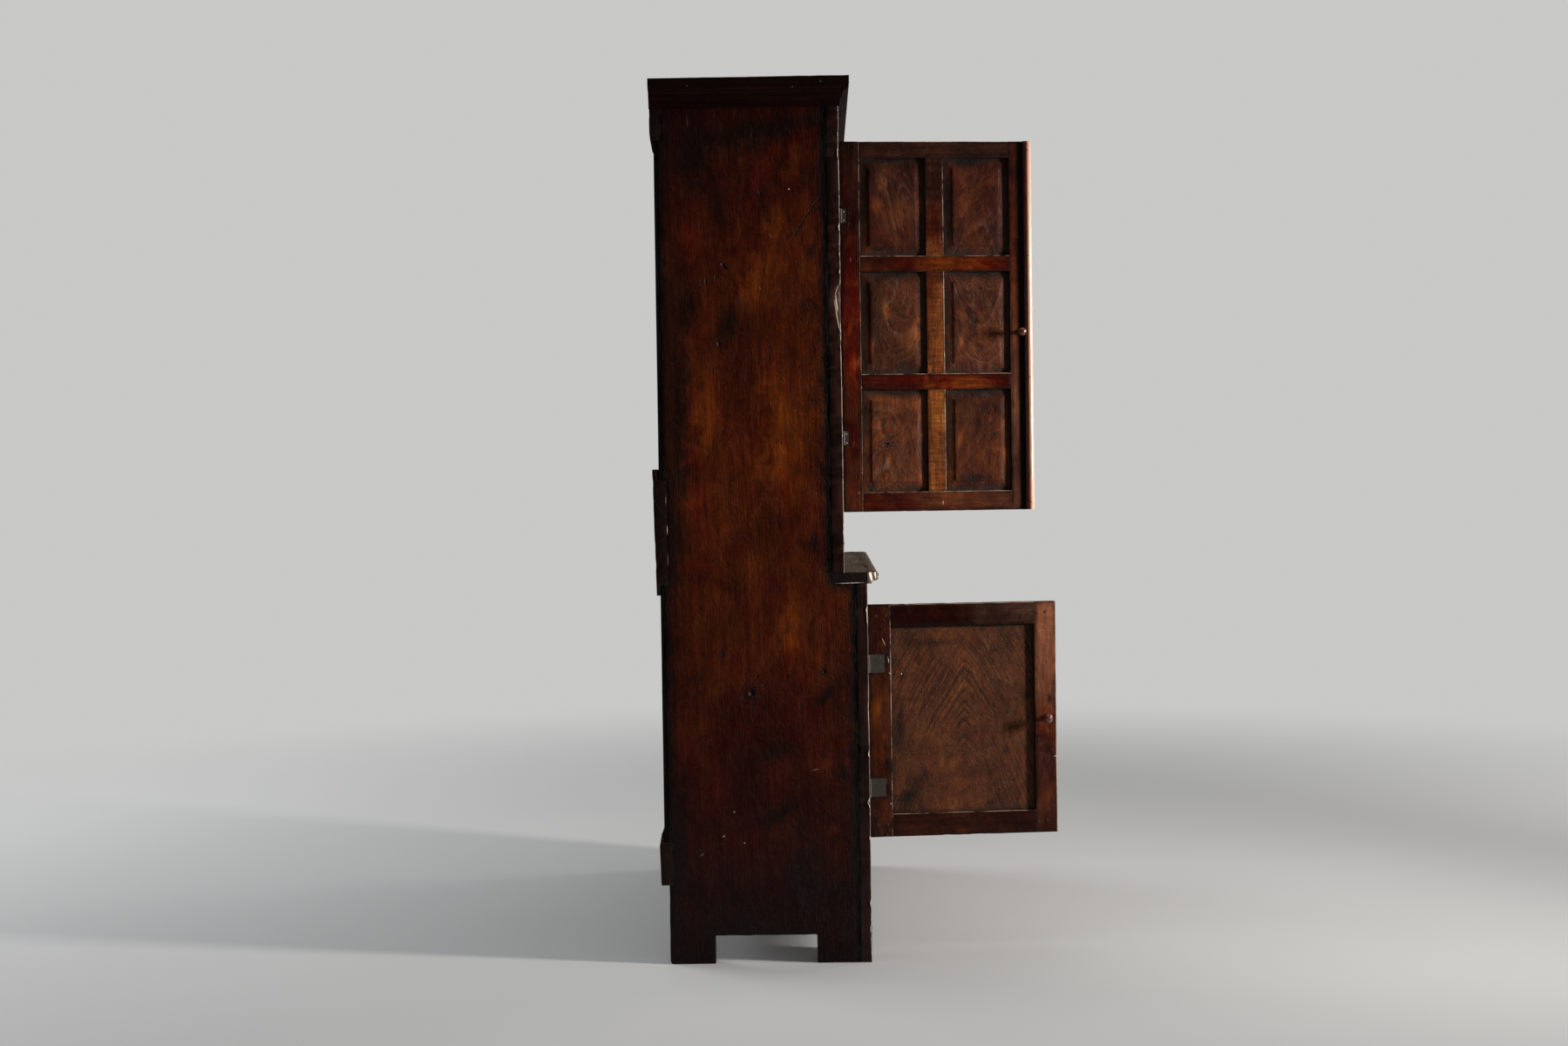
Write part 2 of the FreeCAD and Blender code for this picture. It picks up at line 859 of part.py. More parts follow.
def hinge_heights(upper):
    if upper:
        low = upper_door_bottom + upper_hinge_inset
        return low, upper_door_bottom + upper_door_height - upper_hinge_inset
    low = lower_door_bottom + lower_hinge_inset_bottom
    return low, lower_door_bottom + lower_door_height - lower_hinge_inset_top


def leaf_size(upper):
    return (upper_leaf_width, upper_leaf_height) if upper else (lower_leaf_width, lower_leaf_height)


def door_pockets(upper):
    front = upper_front if upper else lower_front
    return [leaf_pocket(-door_hinge_x, 1, front, *leaf_size(upper), z) for z in hinge_heights(upper)]


def knob_place(upper):
    """Height and distance from the middle of the case of a knob's axis."""
    if upper:
        height = upper_door_bottom + upper_knob_share * upper_door_height
        return door_meeting_x + upper_meeting_stile_width / 2, height
    height = lower_door_bottom + lower_knob_share * lower_door_height
    return door_meeting_x + lower_meeting_stile_width / 2, height


def upper_door(with_catch):
    front = upper_front
    rails, left, right, bar = upper_layout()
    z0, z1 = rails[0][0], rails[-1][1]
    x_knob, z_knob = knob_place(True)
    bore_depth = door_thickness + overrun if with_catch else blind_shank_depth
    hinge_stile = door_stile(-door_hinge_x, left, True, front, z0, z1, rails)
    meeting = door_stile(right, -door_meeting_x, False, front, z0, z1, rails)
    made_rails = []
    muntins = []
    panels = []
    for n, (low, high) in enumerate(rails):
        made_rails.append(door_rail(left, right, front, low, high, n > 0, n < len(rails) - 1, bar))
    for lower_rail, upper_rail in zip(rails, rails[1:]):
        low, high = lower_rail[1], upper_rail[0]
        muntins.append(muntin(*bar, front, low, high))
        panels.append(raised_panel(left, bar[0], front, low, high))
        panels.append(raised_panel(bar[1], right, front, low, high))
    return {
        "hinge_stile": cut_all(hinge_stile, door_pockets(True)),
        "meeting_stile": cut_all(meeting, [knob_bore(-x_knob, front, z_knob, bore_depth)]),
        "rails": group(made_rails),
        "muntins": group(muntins),
        "panels": group(panels),
    }


def lower_door(with_catch):
    front = lower_front
    z0 = lower_door_bottom
    z1 = z0 + lower_door_height
    rails = [(z0, z0 + lower_door_bottom_rail_height), (z1 - lower_door_top_rail_height, z1)]
    left = -door_hinge_x + lower_hinge_stile_width
    right = -door_meeting_x - lower_meeting_stile_width
    x_knob, z_knob = knob_place(False)
    bore_depth = door_thickness + overrun if with_catch else blind_shank_depth
    hinge_stile = door_stile(-door_hinge_x, left, True, front, z0, z1, rails)
    meeting = door_stile(right, -door_meeting_x, False, front, z0, z1, rails)
    bottom = door_rail(left, right, front, *rails[0], False, True)
    top = door_rail(left, right, front, *rails[1], True, False)
    return {
        "hinge_stile": cut_all(hinge_stile, door_pockets(False)),
        "meeting_stile": cut_all(meeting, [knob_bore(-x_knob, front, z_knob, bore_depth)]),
        "rails": group([bottom, top]),
        "panel": flat_panel(left, right, front, rails[0][1], rails[1][0]),
    }


def cover_strip():
    """The rounded strip planted on the left upper door, over the meeting of the pair."""
    x1 = -door_meeting_x + strip_overhang
    x0 = x1 - strip_width
    front = upper_front
    z0 = upper_door_bottom
    face = front - strip_thickness
    shoulder = front - strip_edge
    edges = [
        line(V(x0, front, z0), V(x0, shoulder, z0)),
        arc(V(x0, shoulder, z0), V((x0 + x1) / 2, face, z0), V(x1, shoulder, z0)),
        line(V(x1, shoulder, z0), V(x1, front, z0)),
        line(V(x1, front, z0), V(x0, front, z0)),
    ]
    strip = curved_prism(edges, UP * upper_door_height)
    relief = box(
        -door_meeting_x + strip_relief,
        x1 + overrun,
        front - strip_relief,
        front + overrun,
        z0 - overrun,
        z0 + upper_door_height + overrun,
    )
    return strip.cut(relief)


# Hinges


def knuckle_spans(z, height):
    """The three knuckles of a hinge, from the lowest up. The middle one is the door's."""
    third = height / 3
    low = z - height / 2
    return [
        (low, low + third - knuckle_gap / 2),
        (low + third + knuckle_gap / 2, low + 2 * third - knuckle_gap / 2),
        (low + 2 * third + knuckle_gap / 2, low + height),
    ]


def hinge_leaf(upper, z, on_door):
    """A leaf let into the outer face, with its knuckles on the hinge line of a left-hand door."""
    front = upper_front if upper else lower_front
    width, height = leaf_size(upper)
    axis = V(-hinge_x, front - hinge_axis_proud, 0)
    inward = 1 if on_door else -1
    edge = -hinge_x + inward * door_gap / 2
    near = edge + inward * leaf_setback
    far = edge + inward * width
    outer = front + leaf_sink - leaf_thickness
    plate = box(
        min(near, far),
        max(near, far),
        outer,
        front + leaf_sink,
        z - height / 2,
        z + height / 2,
    )
    spans = knuckle_spans(z, height)
    mine = spans[1:2] if on_door else spans[::2]
    pieces = []
    bores = []
    for low, high in mine:
        base = V(axis.x, axis.y, low)
        pieces.append(rod(knuckle_radius, high - low, base, UP))
        shoulder_end = edge + inward * leaf_shoulder
        pieces.append(
            box(
                min(axis.x, shoulder_end),
                max(axis.x, shoulder_end),
                axis.y,
                outer + leaf_thickness / 2,
                low,
                high,
            )
        )
        bore = hinge_pin_radius + running_gap
        bores.append(rod(bore, high - low + 2 * overrun, base - UP * overrun, UP))
    return whole(plate.fuse(pieces).cut(bores))


def hinge_pin(upper, z):
    front = upper_front if upper else lower_front
    height = leaf_size(upper)[1]
    base = V(-hinge_x, front - hinge_axis_proud, z - height / 2)
    pin = rod(hinge_pin_radius, height, base, UP)
    head = Part.makeCone(hinge_pin_head_radius, hinge_pin_radius / 2, hinge_pin_head, base + UP * height, UP)
    return whole(pin.fuse(head))


def door_leaves(upper):
    return group([hinge_leaf(upper, z, True) for z in hinge_heights(upper)])


def case_hinges():
    """The leaves on the case with the pins that they hold, at the left and at the right."""
    pieces = []
    for upper in (True, False):
        for z in hinge_heights(upper):
            pieces += [hinge_leaf(upper, z, False), hinge_pin(upper, z)]
    return group(pieces + [mirrored(p) for p in pieces])


# Knobs, catches and bolts


def knob(upper, turning):
    """A turned knob. A turning one carries a spindle through the door, a fixed one a blind shank."""
    front = upper_front if upper else lower_front
    radius = upper_knob_radius if upper else lower_knob_radius
    x, z = knob_place(upper)
    start = V(-x, front, z)
    reach = knob_base_thickness + knob_neck_length
    ball = start - BACK * (reach + radius * 0.8)

    def at(r, y):
        return V(-x + r, y, z)

    base_front = front - knob_base_thickness
    neck_front = front - reach
    join = sqrt(radius**2 - knob_neck_radius**2)
    edges = [
        line(at(0, front), at(knob_base_radius, front)),
        line(at(knob_base_radius, front), at(knob_base_radius, base_front)),
        bulge(
            at(knob_base_radius, base_front),
            at(knob_neck_radius, ball.y + join),
            (knob_base_radius - knob_neck_radius) / 2,
            V(-1, 0, 0),
        ),
        arc(at(knob_neck_radius, ball.y + join), at(radius, ball.y), at(0, ball.y - radius)),
        line(at(0, ball.y - radius), at(0, front)),
    ]
    turned = Part.Face(Part.Wire(edges)).revolve(start, BACK, 360)
    depth = door_thickness + catch_washer + catch_thickness if turning else blind_shank_depth - slide_gap
    return whole(turned.fuse(rod(spindle_radius, depth, start, BACK)))


def catch(upper):
    """The flat iron catch on the inner end of a spindle, hanging down when it is turned off."""
    front = upper_front if upper else lower_front
    x, z = knob_place(upper)
    inner = front + door_thickness
    washer = rod(catch_washer_radius, catch_washer, V(-x, inner, z), BACK)
    y0 = inner + catch_washer
    half = catch_width / 2
    edges = [
        line(V(-x - half, y0, z), V(-x - half, y0, z - catch_length + half)),
        arc(
            V(-x - half, y0, z - catch_length + half),
            V(-x, y0, z - catch_length),
            V(-x + half, y0, z - catch_length + half),
        ),
        line(V(-x + half, y0, z - catch_length + half), V(-x + half, y0, z)),
        arc(V(-x + half, y0, z), V(-x, y0, z + half), V(-x - half, y0, z)),
    ]
    bar = curved_prism(edges, BACK * catch_thickness)
    depth = catch_washer + catch_thickness + overrun
    bore = rod(spindle_radius + joint_gap / 2, depth, V(-x, inner - slide_gap, z), BACK)
    made = whole(washer.fuse(bar)).cut(bore)
    made.translate(BACK * (slide_gap / 2))
    return made


def bolt_axis(upper):
    """X and Y of the bolt inside a right-hand door, which passes just behind the frame's rail."""
    front = upper_front if upper else lower_front
    thickness = upper_frame_thickness if upper else lower_frame_thickness
    width = upper_meeting_stile_width if upper else lower_meeting_stile_width
    rail_clear = front + max(thickness, door_thickness + staple_plate_thickness) + bolt_clear_of_rail
    return door_meeting_x + width / 2, rail_clear + bolt_radius


def bolt_top(upper):
    if upper:
        return upper_door_bottom + upper_door_height - bolt_top_inset
    return lower_door_bottom + lower_door_height - bolt_top_inset


def bolt_plate_span(upper):
    """Heights of the ends of a bolt's plate, whose staples stop the grip at each end of its travel."""
    high = bolt_top(upper) - bolt_nose
    staples = 2 * (staple_margin + staple_width)
    return high - staples - bolt_travel - 2 * (bolt_grip_radius + slide_gap), high


def bolt(upper):
    x, y = bolt_axis(upper)
    top = bolt_top(upper)
    low = bolt_plate_span(upper)[0]
    bottom = low - bolt_tail
    shaft = rod(bolt_radius, top - bottom, V(x, y, bottom), UP)
    end = [e for e in shaft.Edges if e.BoundBox.ZMin > top - joint_gap]
    shaft = shaft.makeChamfer(bolt_radius / 3, end)
    grip_z = low + staple_margin + staple_width + slide_gap + bolt_grip_radius
    grip = rod(bolt_grip_radius, bolt_radius + bolt_grip_length, V(x, y, grip_z), BACK)
    return whole(shaft.fuse(grip))


def bolt_staples(upper):
    """The plate on the inner face of the door, with two staples that guide the bolt."""
    front = upper_front if upper else lower_front
    x, y = bolt_axis(upper)
    face = front + door_thickness
    low, high = bolt_plate_span(upper)
    plate = box(
        x - staple_plate_width / 2,
        x + staple_plate_width / 2,
        face,
        face + staple_plate_thickness,
        low,
        high,
    )
    wall = bolt_radius + slide_gap + staple_wall
    pieces = []
    for z0 in (low + staple_margin, high - staple_margin - staple_width):
        pieces.append(rod(wall, staple_width, V(x, y, z0), UP))
        seat = face + staple_plate_thickness / 2
        pieces.append(box(x - wall, x + wall, seat, y, z0, z0 + staple_width))
    bore = rod(bolt_radius + slide_gap, high - low, V(x, y, low), UP)
    return whole(plate.fuse(pieces).cut(bore))


def opened(shape, upper):
    """A left-hand door piece, swung open about its hinge line to where it stands."""
    front = upper_front if upper else lower_front
    angle = upper_open_angle if upper else lower_open_angle
    moved = shape.copy()
    moved.rotate(V(-hinge_x, front - hinge_axis_proud, 0), UP, -angle)
    return moved


def case_parts():
    left_side = side_board()
    upper_rails = [(waist_top, upper_rail_top), (frieze_bottom, case_top)]
    lower_rails = [(apron_clearance, apron_top), (lower_rail_bottom, waist_bottom)]
    pegs = side_pegs(-1)
    upper_pegs = pegs[: len(upper_side_peg_shares)]
    lower_pegs = pegs[len(upper_side_peg_shares) :]
    upper_span = (waist_top, case_top)
    upper_stile = frame_stile(upper_front, upper_frame_thickness, *upper_span, upper_rails, upper_pegs)
    lower_stile = frame_stile(lower_front, lower_frame_thickness, 0, waist_bottom, lower_rails, lower_pegs)
    upper_leaves = [
        leaf_pocket(-opening_x, -1, upper_front, *leaf_size(True), z) for z in hinge_heights(True)
    ]
    lower_leaves = [
        leaf_pocket(-opening_x, -1, lower_front, *leaf_size(False), z) for z in hinge_heights(False)
    ]
    upper_stile = cut_all(upper_stile, upper_leaves)
    lower_stile = cut_all(lower_stile, lower_leaves)
    left_return = cornice_return()
    lower_back_top = back_middle_bottom + back_rail_tuck
    parts = {
        "left_side_board": left_side,
        "right_side_board": mirrored(left_side),
        "top_board": top_board(),
        "waist_board": waist_board(),
        "waist_moulding": waist_moulding(),
        "bottom_board": bottom_board(),
        "lower_shelf": shelf(lower_shelf_bottom(), shelf_front_low(), lower_frame_thickness, lower_front),
        "back_top_rail": back_rail(back_top_bottom, case_top, True, False, True, False),
        "back_middle_rail": back_rail(back_middle_bottom, back_middle_top, True, True, False, False),
        "back_bottom_rail": back_rail(back_bottom_bottom, back_bottom_top, False, True, False, True),
        "upper_back_boards": back_boards(back_middle_top - back_rail_tuck, back_top_bottom + back_rail_tuck),
        "lower_back_boards": back_boards(back_bottom_top - back_rail_tuck, lower_back_top),
        "upper_left_stile": upper_stile,
        "upper_right_stile": mirrored(upper_stile),
        "lower_left_stile": lower_stile,
        "lower_right_stile": mirrored(lower_stile),
        "cornice_front": cornice_front(),
        "cornice_left_return": left_return,
        "cornice_right_return": mirrored(left_return),
        "frame_pegs": frame_pegs(),
        "case_hinges": case_hinges(),
    }
    for name, (z, front) in zip(("upper_shelf_low", "upper_shelf_high"), upper_shelf_places()):
        parts[name] = shelf(z, front, upper_frame_thickness, upper_front)
    for name, place in frame_rails().items():
        parts[name] = frame_rail(*place)
    return parts


def door_parts():
    parts = {}
    for upper, prefix, build in ((True, "upper", upper_door), (False, "lower", lower_door)):
        left = build(True)
        left["hinge_leaves"] = door_leaves(upper)
        left["knob"] = knob(upper, True)
        left["catch"] = catch(upper)
        if upper:
            left["cover_strip"] = cover_strip()
        for name, shape in left.items():
            parts[f"{prefix}_left_door_{name}"] = opened(shape, upper)
        right = build(False)
        right["hinge_leaves"] = door_leaves(upper)
        right["knob"] = knob(upper, False)
        for name, shape in right.items():
            parts[f"{prefix}_right_door_{name}"] = mirrored(shape)
        parts[f"{prefix}_right_door_bolt"] = bolt(upper)
        parts[f"{prefix}_right_door_bolt_staples"] = bolt_staples(upper)
    return parts


def main():
    os.makedirs("parts", exist_ok=True)
    parts = case_parts()
    parts.update(door_parts())
    for name, shape in sorted(parts.items()):
        bad = [s for s in shape.Solids if not s.isValid() or s.Volume <= 0]
        if bad or not shape.Solids:
            print(f"{name}: {len(bad)} bad solids of {len(shape.Solids)}")
        shape.exportStep(f"parts/{name}.step")
    print(f"{len(parts)} nodes, {sum(len(s.Solids) for s in parts.values())} solids")
    print(f"width {case_width:.1f}, height {whole_top:.1f}, lower front at {lower_front:.2f}")


main()
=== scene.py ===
import json
import math
import random

import bmesh
import bpy
from mathutils import Matrix, Vector, noise
from mathutils.kdtree import KDTree

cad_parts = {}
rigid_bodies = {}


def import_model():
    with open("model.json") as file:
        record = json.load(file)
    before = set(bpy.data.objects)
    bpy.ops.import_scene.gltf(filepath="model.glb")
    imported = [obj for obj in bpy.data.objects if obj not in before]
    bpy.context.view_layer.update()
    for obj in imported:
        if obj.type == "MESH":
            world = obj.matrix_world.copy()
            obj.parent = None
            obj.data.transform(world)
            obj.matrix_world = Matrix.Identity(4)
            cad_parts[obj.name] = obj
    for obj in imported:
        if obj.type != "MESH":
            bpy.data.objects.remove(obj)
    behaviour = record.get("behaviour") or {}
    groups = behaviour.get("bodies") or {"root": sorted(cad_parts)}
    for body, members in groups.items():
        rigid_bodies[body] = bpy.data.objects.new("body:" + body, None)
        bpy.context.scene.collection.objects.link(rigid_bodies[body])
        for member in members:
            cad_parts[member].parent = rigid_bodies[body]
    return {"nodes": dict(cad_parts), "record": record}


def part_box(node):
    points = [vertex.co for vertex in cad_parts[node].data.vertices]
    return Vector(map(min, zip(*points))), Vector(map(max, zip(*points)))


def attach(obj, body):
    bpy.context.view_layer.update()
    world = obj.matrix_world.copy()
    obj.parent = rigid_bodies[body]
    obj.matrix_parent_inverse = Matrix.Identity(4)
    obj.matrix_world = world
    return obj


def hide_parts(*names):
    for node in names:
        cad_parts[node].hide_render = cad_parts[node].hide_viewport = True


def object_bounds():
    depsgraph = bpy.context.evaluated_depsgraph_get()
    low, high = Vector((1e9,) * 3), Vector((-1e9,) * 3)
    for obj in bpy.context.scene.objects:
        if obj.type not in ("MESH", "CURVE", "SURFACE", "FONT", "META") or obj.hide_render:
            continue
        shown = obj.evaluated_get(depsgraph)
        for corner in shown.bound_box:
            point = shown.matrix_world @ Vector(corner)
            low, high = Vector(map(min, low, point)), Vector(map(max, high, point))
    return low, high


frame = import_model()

cad_low, cad_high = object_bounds()
record = frame["record"]
slots = {s["node"]: s["material_slot"] for s in record["subparts"]}
bodies = record["behaviour"]["bodies"]
body_of = {node: body for body, nodes in bodies.items() for node in nodes}
joints = {j["name"]: j for j in record["behaviour"]["joints"]}

# The photograph's frame and the camera that was fitted to it, in pixels of that frame
PHOTO_WIDTH, PHOTO_HEIGHT = 1799, 1200
VANISHING = Vector((937.0, 536.0))  # of the lines that run from side to side of the cupboard
PIXEL = 0.00192  # metres to a pixel at the near side board
FAR_SHARE = 0.803  # scale at the far side board as a share of that at the near one
LEAN = 0.014  # radians by which the cupboard's up leans left in the frame
SENSOR = 36.0  # the usual width of a film, in millimetres
EYE_HEIGHT = 1.098  # metres from the floor to the camera
EYE_FROM_BACK = 0.339  # metres by which the camera stands in front of the back
MM = 0.001


# Helpers for shader nodes


class Tree:
    """A small shorthand for building a material's nodes."""

    def __init__(self, name):
        self.mat = bpy.data.materials.new(name)
        self.mat.use_nodes = True
        self.nodes = self.mat.node_tree.nodes
        self.links = self.mat.node_tree.links
        self.nodes.clear()
        self.out = self.nodes.new("ShaderNodeOutputMaterial")

    def put(self, socket, value):
        if isinstance(value, bpy.types.NodeSocket):
            self.links.new(value, socket)
        elif value is not None:
            socket.default_value = value

    def node(self, kind, *values, **settings):
        n = self.nodes.new(kind)
        for key, value in settings.items():
            setattr(n, key, value)
        for i, value in enumerate(values):
            self.put(n.inputs[i], value)
        return n

    def math(self, op, a, b=None, clamp=False):
        return self.node("ShaderNodeMath", a, b, operation=op, use_clamp=clamp).outputs[0]

    def add(self, a, b, clamp=False):
        return self.math("ADD", a, b, clamp)

    def sub(self, a, b):
        return self.math("SUBTRACT", a, b)

    def mul(self, a, b, clamp=False):
        return self.math("MULTIPLY", a, b, clamp)

    def sway(self, noise, amount):
        """A noise about nought."""
        return self.mul(self.sub(noise, 0.5), amount)

    def vector(self, op, a, b=None):
        n = self.node("ShaderNodeVectorMath", a, b, operation=op)
        return n.outputs["Value"] if op in ("LENGTH", "DISTANCE", "DOT_PRODUCT") else n.outputs[0]

    def split(self, v):
        return self.node("ShaderNodeSeparateXYZ", v).outputs

    def join(self, x, y, z):
        return self.node("ShaderNodeCombineXYZ", x, y, z).outputs[0]

    def attribute(self, name, vector=False):
        n = self.node("ShaderNodeAttribute", attribute_name=name)
        return n.outputs["Vector" if vector else "Fac"]

    def noise(self, v, scale=1.0, detail=2.0, rough=0.5, stretch=None, swirl=0.0):
        if stretch:
            v = self.vector("MULTIPLY", v, stretch)
        n = self.node("ShaderNodeTexNoise")
        self.put(n.inputs["Vector"], v)
        self.put(n.inputs["Scale"], scale)
        self.put(n.inputs["Detail"], detail)
        self.put(n.inputs["Roughness"], rough)
        self.put(n.inputs["Distortion"], swirl)
        return n.outputs[0]

    def remap(self, v, low, high, to_low=0.0, to_high=1.0, smooth=True):
        n = self.node("ShaderNodeMapRange", v, low, high, to_low, to_high)
        n.interpolation_type = "SMOOTHSTEP" if smooth else "LINEAR"
        n.clamp = True
        return n.outputs[0]

    def mix(self, fac, a, b, blend="MIX"):
        n = self.node("ShaderNodeMix", data_type="RGBA", blend_type=blend)
        self.put(n.inputs[0], fac)
        self.put(n.inputs[6], a if isinstance(a, bpy.types.NodeSocket) else (*a, 1.0))
        self.put(n.inputs[7], b if isinstance(b, bpy.types.NodeSocket) else (*b, 1.0))
        return n.outputs[2]

    def shade(self, v, factor):
        """A colour times a number."""
        grey = self.join(factor, factor, factor)
        return self.vector("MULTIPLY", v, grey)

    def bump(self, height, distance, strength=1.0, normal=None):
        n = self.node("ShaderNodeBump")
        self.put(n.inputs["Strength"], strength)
        self.put(n.inputs["Distance"], distance)
        self.put(n.inputs["Height"], height)
        self.put(n.inputs["Normal"], normal)
        return n.outputs[0]

    def surface(self, color, rough, normal, **fixed):
        n = self.node("ShaderNodeBsdfPrincipled")
        self.put(n.inputs["Base Color"], color)
        self.put(n.inputs["Roughness"], rough)
        self.put(n.inputs["Normal"], normal)
        for key, value in fixed.items():
            n.inputs[key.replace("_", " ")].default_value = value
        self.links.new(n.outputs[0], self.out.inputs[0])
        return self.mat


# Wood. A board's own coordinates reach the shader as attributes: pith is the offset from the heart of the
# tree with the third number along the grain, rims holds the distance to the outline of the board, the
# distance to the arris that is painted pale as worn wood and painted highlight, and how torn it is, tone is
# brightness, warmth and bloom, with painted shade in the brightness of the side boards, place is where the
# point is while its door is shut, and dust is how much of the polish has gone.

# Of each noise: detail, roughness, stretch, swirl
NOISES = {
    "wander": (2.0, 0.55, (9.0, 9.0, 1.6)),
    "ripple": (3.0, 0.6, (46.0, 46.0, 7.0)),
    "jitter": (3.0, 0.7, (160.0, 160.0, 160.0)),
    "fibre": (4.0, 0.7, (330.0, 330.0, 9.0)),
    "streak": (3.0, 0.6, (95.0, 95.0, 4.5)),
    "pits": (2.0, 0.5, (120.0, 120.0, 55.0)),
    "pores": (2.0, 0.5, (1500.0, 1500.0, 55.0)),
    "broad": (4.0, 0.62, (7.5, 7.5, 5.5), 0.9),
    "patch": (6.0, 0.72, (24.0, 24.0, 16.0), 1.3),
    "hue": (6.0, 0.70, (12.0, 12.0, 8.0), 1.2),
    "vein": (3.0, 0.55, (42.0, 42.0, 2.4), 0.3),
    "veined": (2.0, 0.5, (14.0, 14.0, 8.0)),
    "fleck": (3.0, 0.6, (70.0, 70.0, 210.0)),
    "seen": (2.0, 0.5, (8.0, 8.0, 3.0)),
    "curl": (3.0, 0.6, (14.0, 14.0, 150.0)),
    "stretches": (3.0, 0.7, (60.0, 60.0, 22.0)),
    "swellings": (3.0, 0.55, (75.0, 75.0, 60.0)),
}

BLACKISH = (0.0070, 0.0030, 0.0022)
TORN = (0.048, 0.021, 0.010)  # where a splinter is gone
DUSTY = (0.120, 0.054, 0.034)  # wood whose polish has gone dull
BLOOM = (0.046, 0.037, 0.029)  # the grey of old wax and dust
# Near black for the gap where boards meet and for the painted shade beside it
SEAM_AND_SHADE = (0.0012, 0.0008, 0.0006)
HOLE = (0.003, 0.002, 0.002)
DEPTH = (0.004, 0.003, 0.002)  # the inside of a dent or crack

# Marks that make the wood more amber or more red, and brighter
WARMING = {"glow": 0.55, "ruby": -0.5}
WARM_GAIN = 0.80
# Frayed marks: share, colour, which is the dark one of the wood where none is given
BLOTS = {
    "stain": (0.9, None),
    "smudge": (0.8, (0.020, 0.0048, 0.0026)),
    "dusty": (0.6, (0.095, 0.066, 0.052)),
}
# Sharp marks: softness, raggedness, share, colour or none for the pale colour of the look, whether it is sunk.
# The lit and glint marks are painted highlights and the near-black mark is painted shade.
SPOTS = {
    "lit": (0.5, 0.0, 1.0, None, False),
    "black": (0.3, 0.0, 1.0, (0.0060, 0.0036, 0.0024), False),
    "dent": (0.6, 0.0, 1.0, DEPTH, True),
    "crack": (0.5, 3.0, 1.0, DEPTH, True),
    "scratch": (0.7, 2.0, 0.7, (0.30, 0.20, 0.14), False),
    "glint": (0.7, 2.0, 0.9, (0.75, 0.62, 0.48), False),
}


class Look:
    """The colours and the figure of one kind of wood."""

    ring = 0.0040
    contrast = 0.6
    wander = 0.030
    pores = 0.5
    mottle = 0.5
    flame = 0.0
    # Darkening near the outline of a board, as dirt and painted shade
    grime_and_shade = 0.7
    grime_and_shade_width = 0.024
    rough = 0.34
    relief = 1.0
    polish = 0.08
    veins = 0.55
    # The pale line on the front arrises is worn wood and painted highlight
    worn_and_lit = 0.3
    whole = 0.46  # share of an arris that is not painted pale
    bare_and_lit = (0.30, 0.150, 0.075)
    line = None  # colour of the rings where it isn't the dark one
    point = 2.0  # the arches of the rings are round at 2 and pointed below it
    shy = 0.5  # share of the rings' contrast that shows everywhere
    uneven = 0.5  # how much weaker the faint rings are than the strong ones
    shine = 0.16

    def __init__(self, dark, red, amber, **more):
        self.dark, self.red, self.amber = dark, red, amber
        vars(self).update(more)


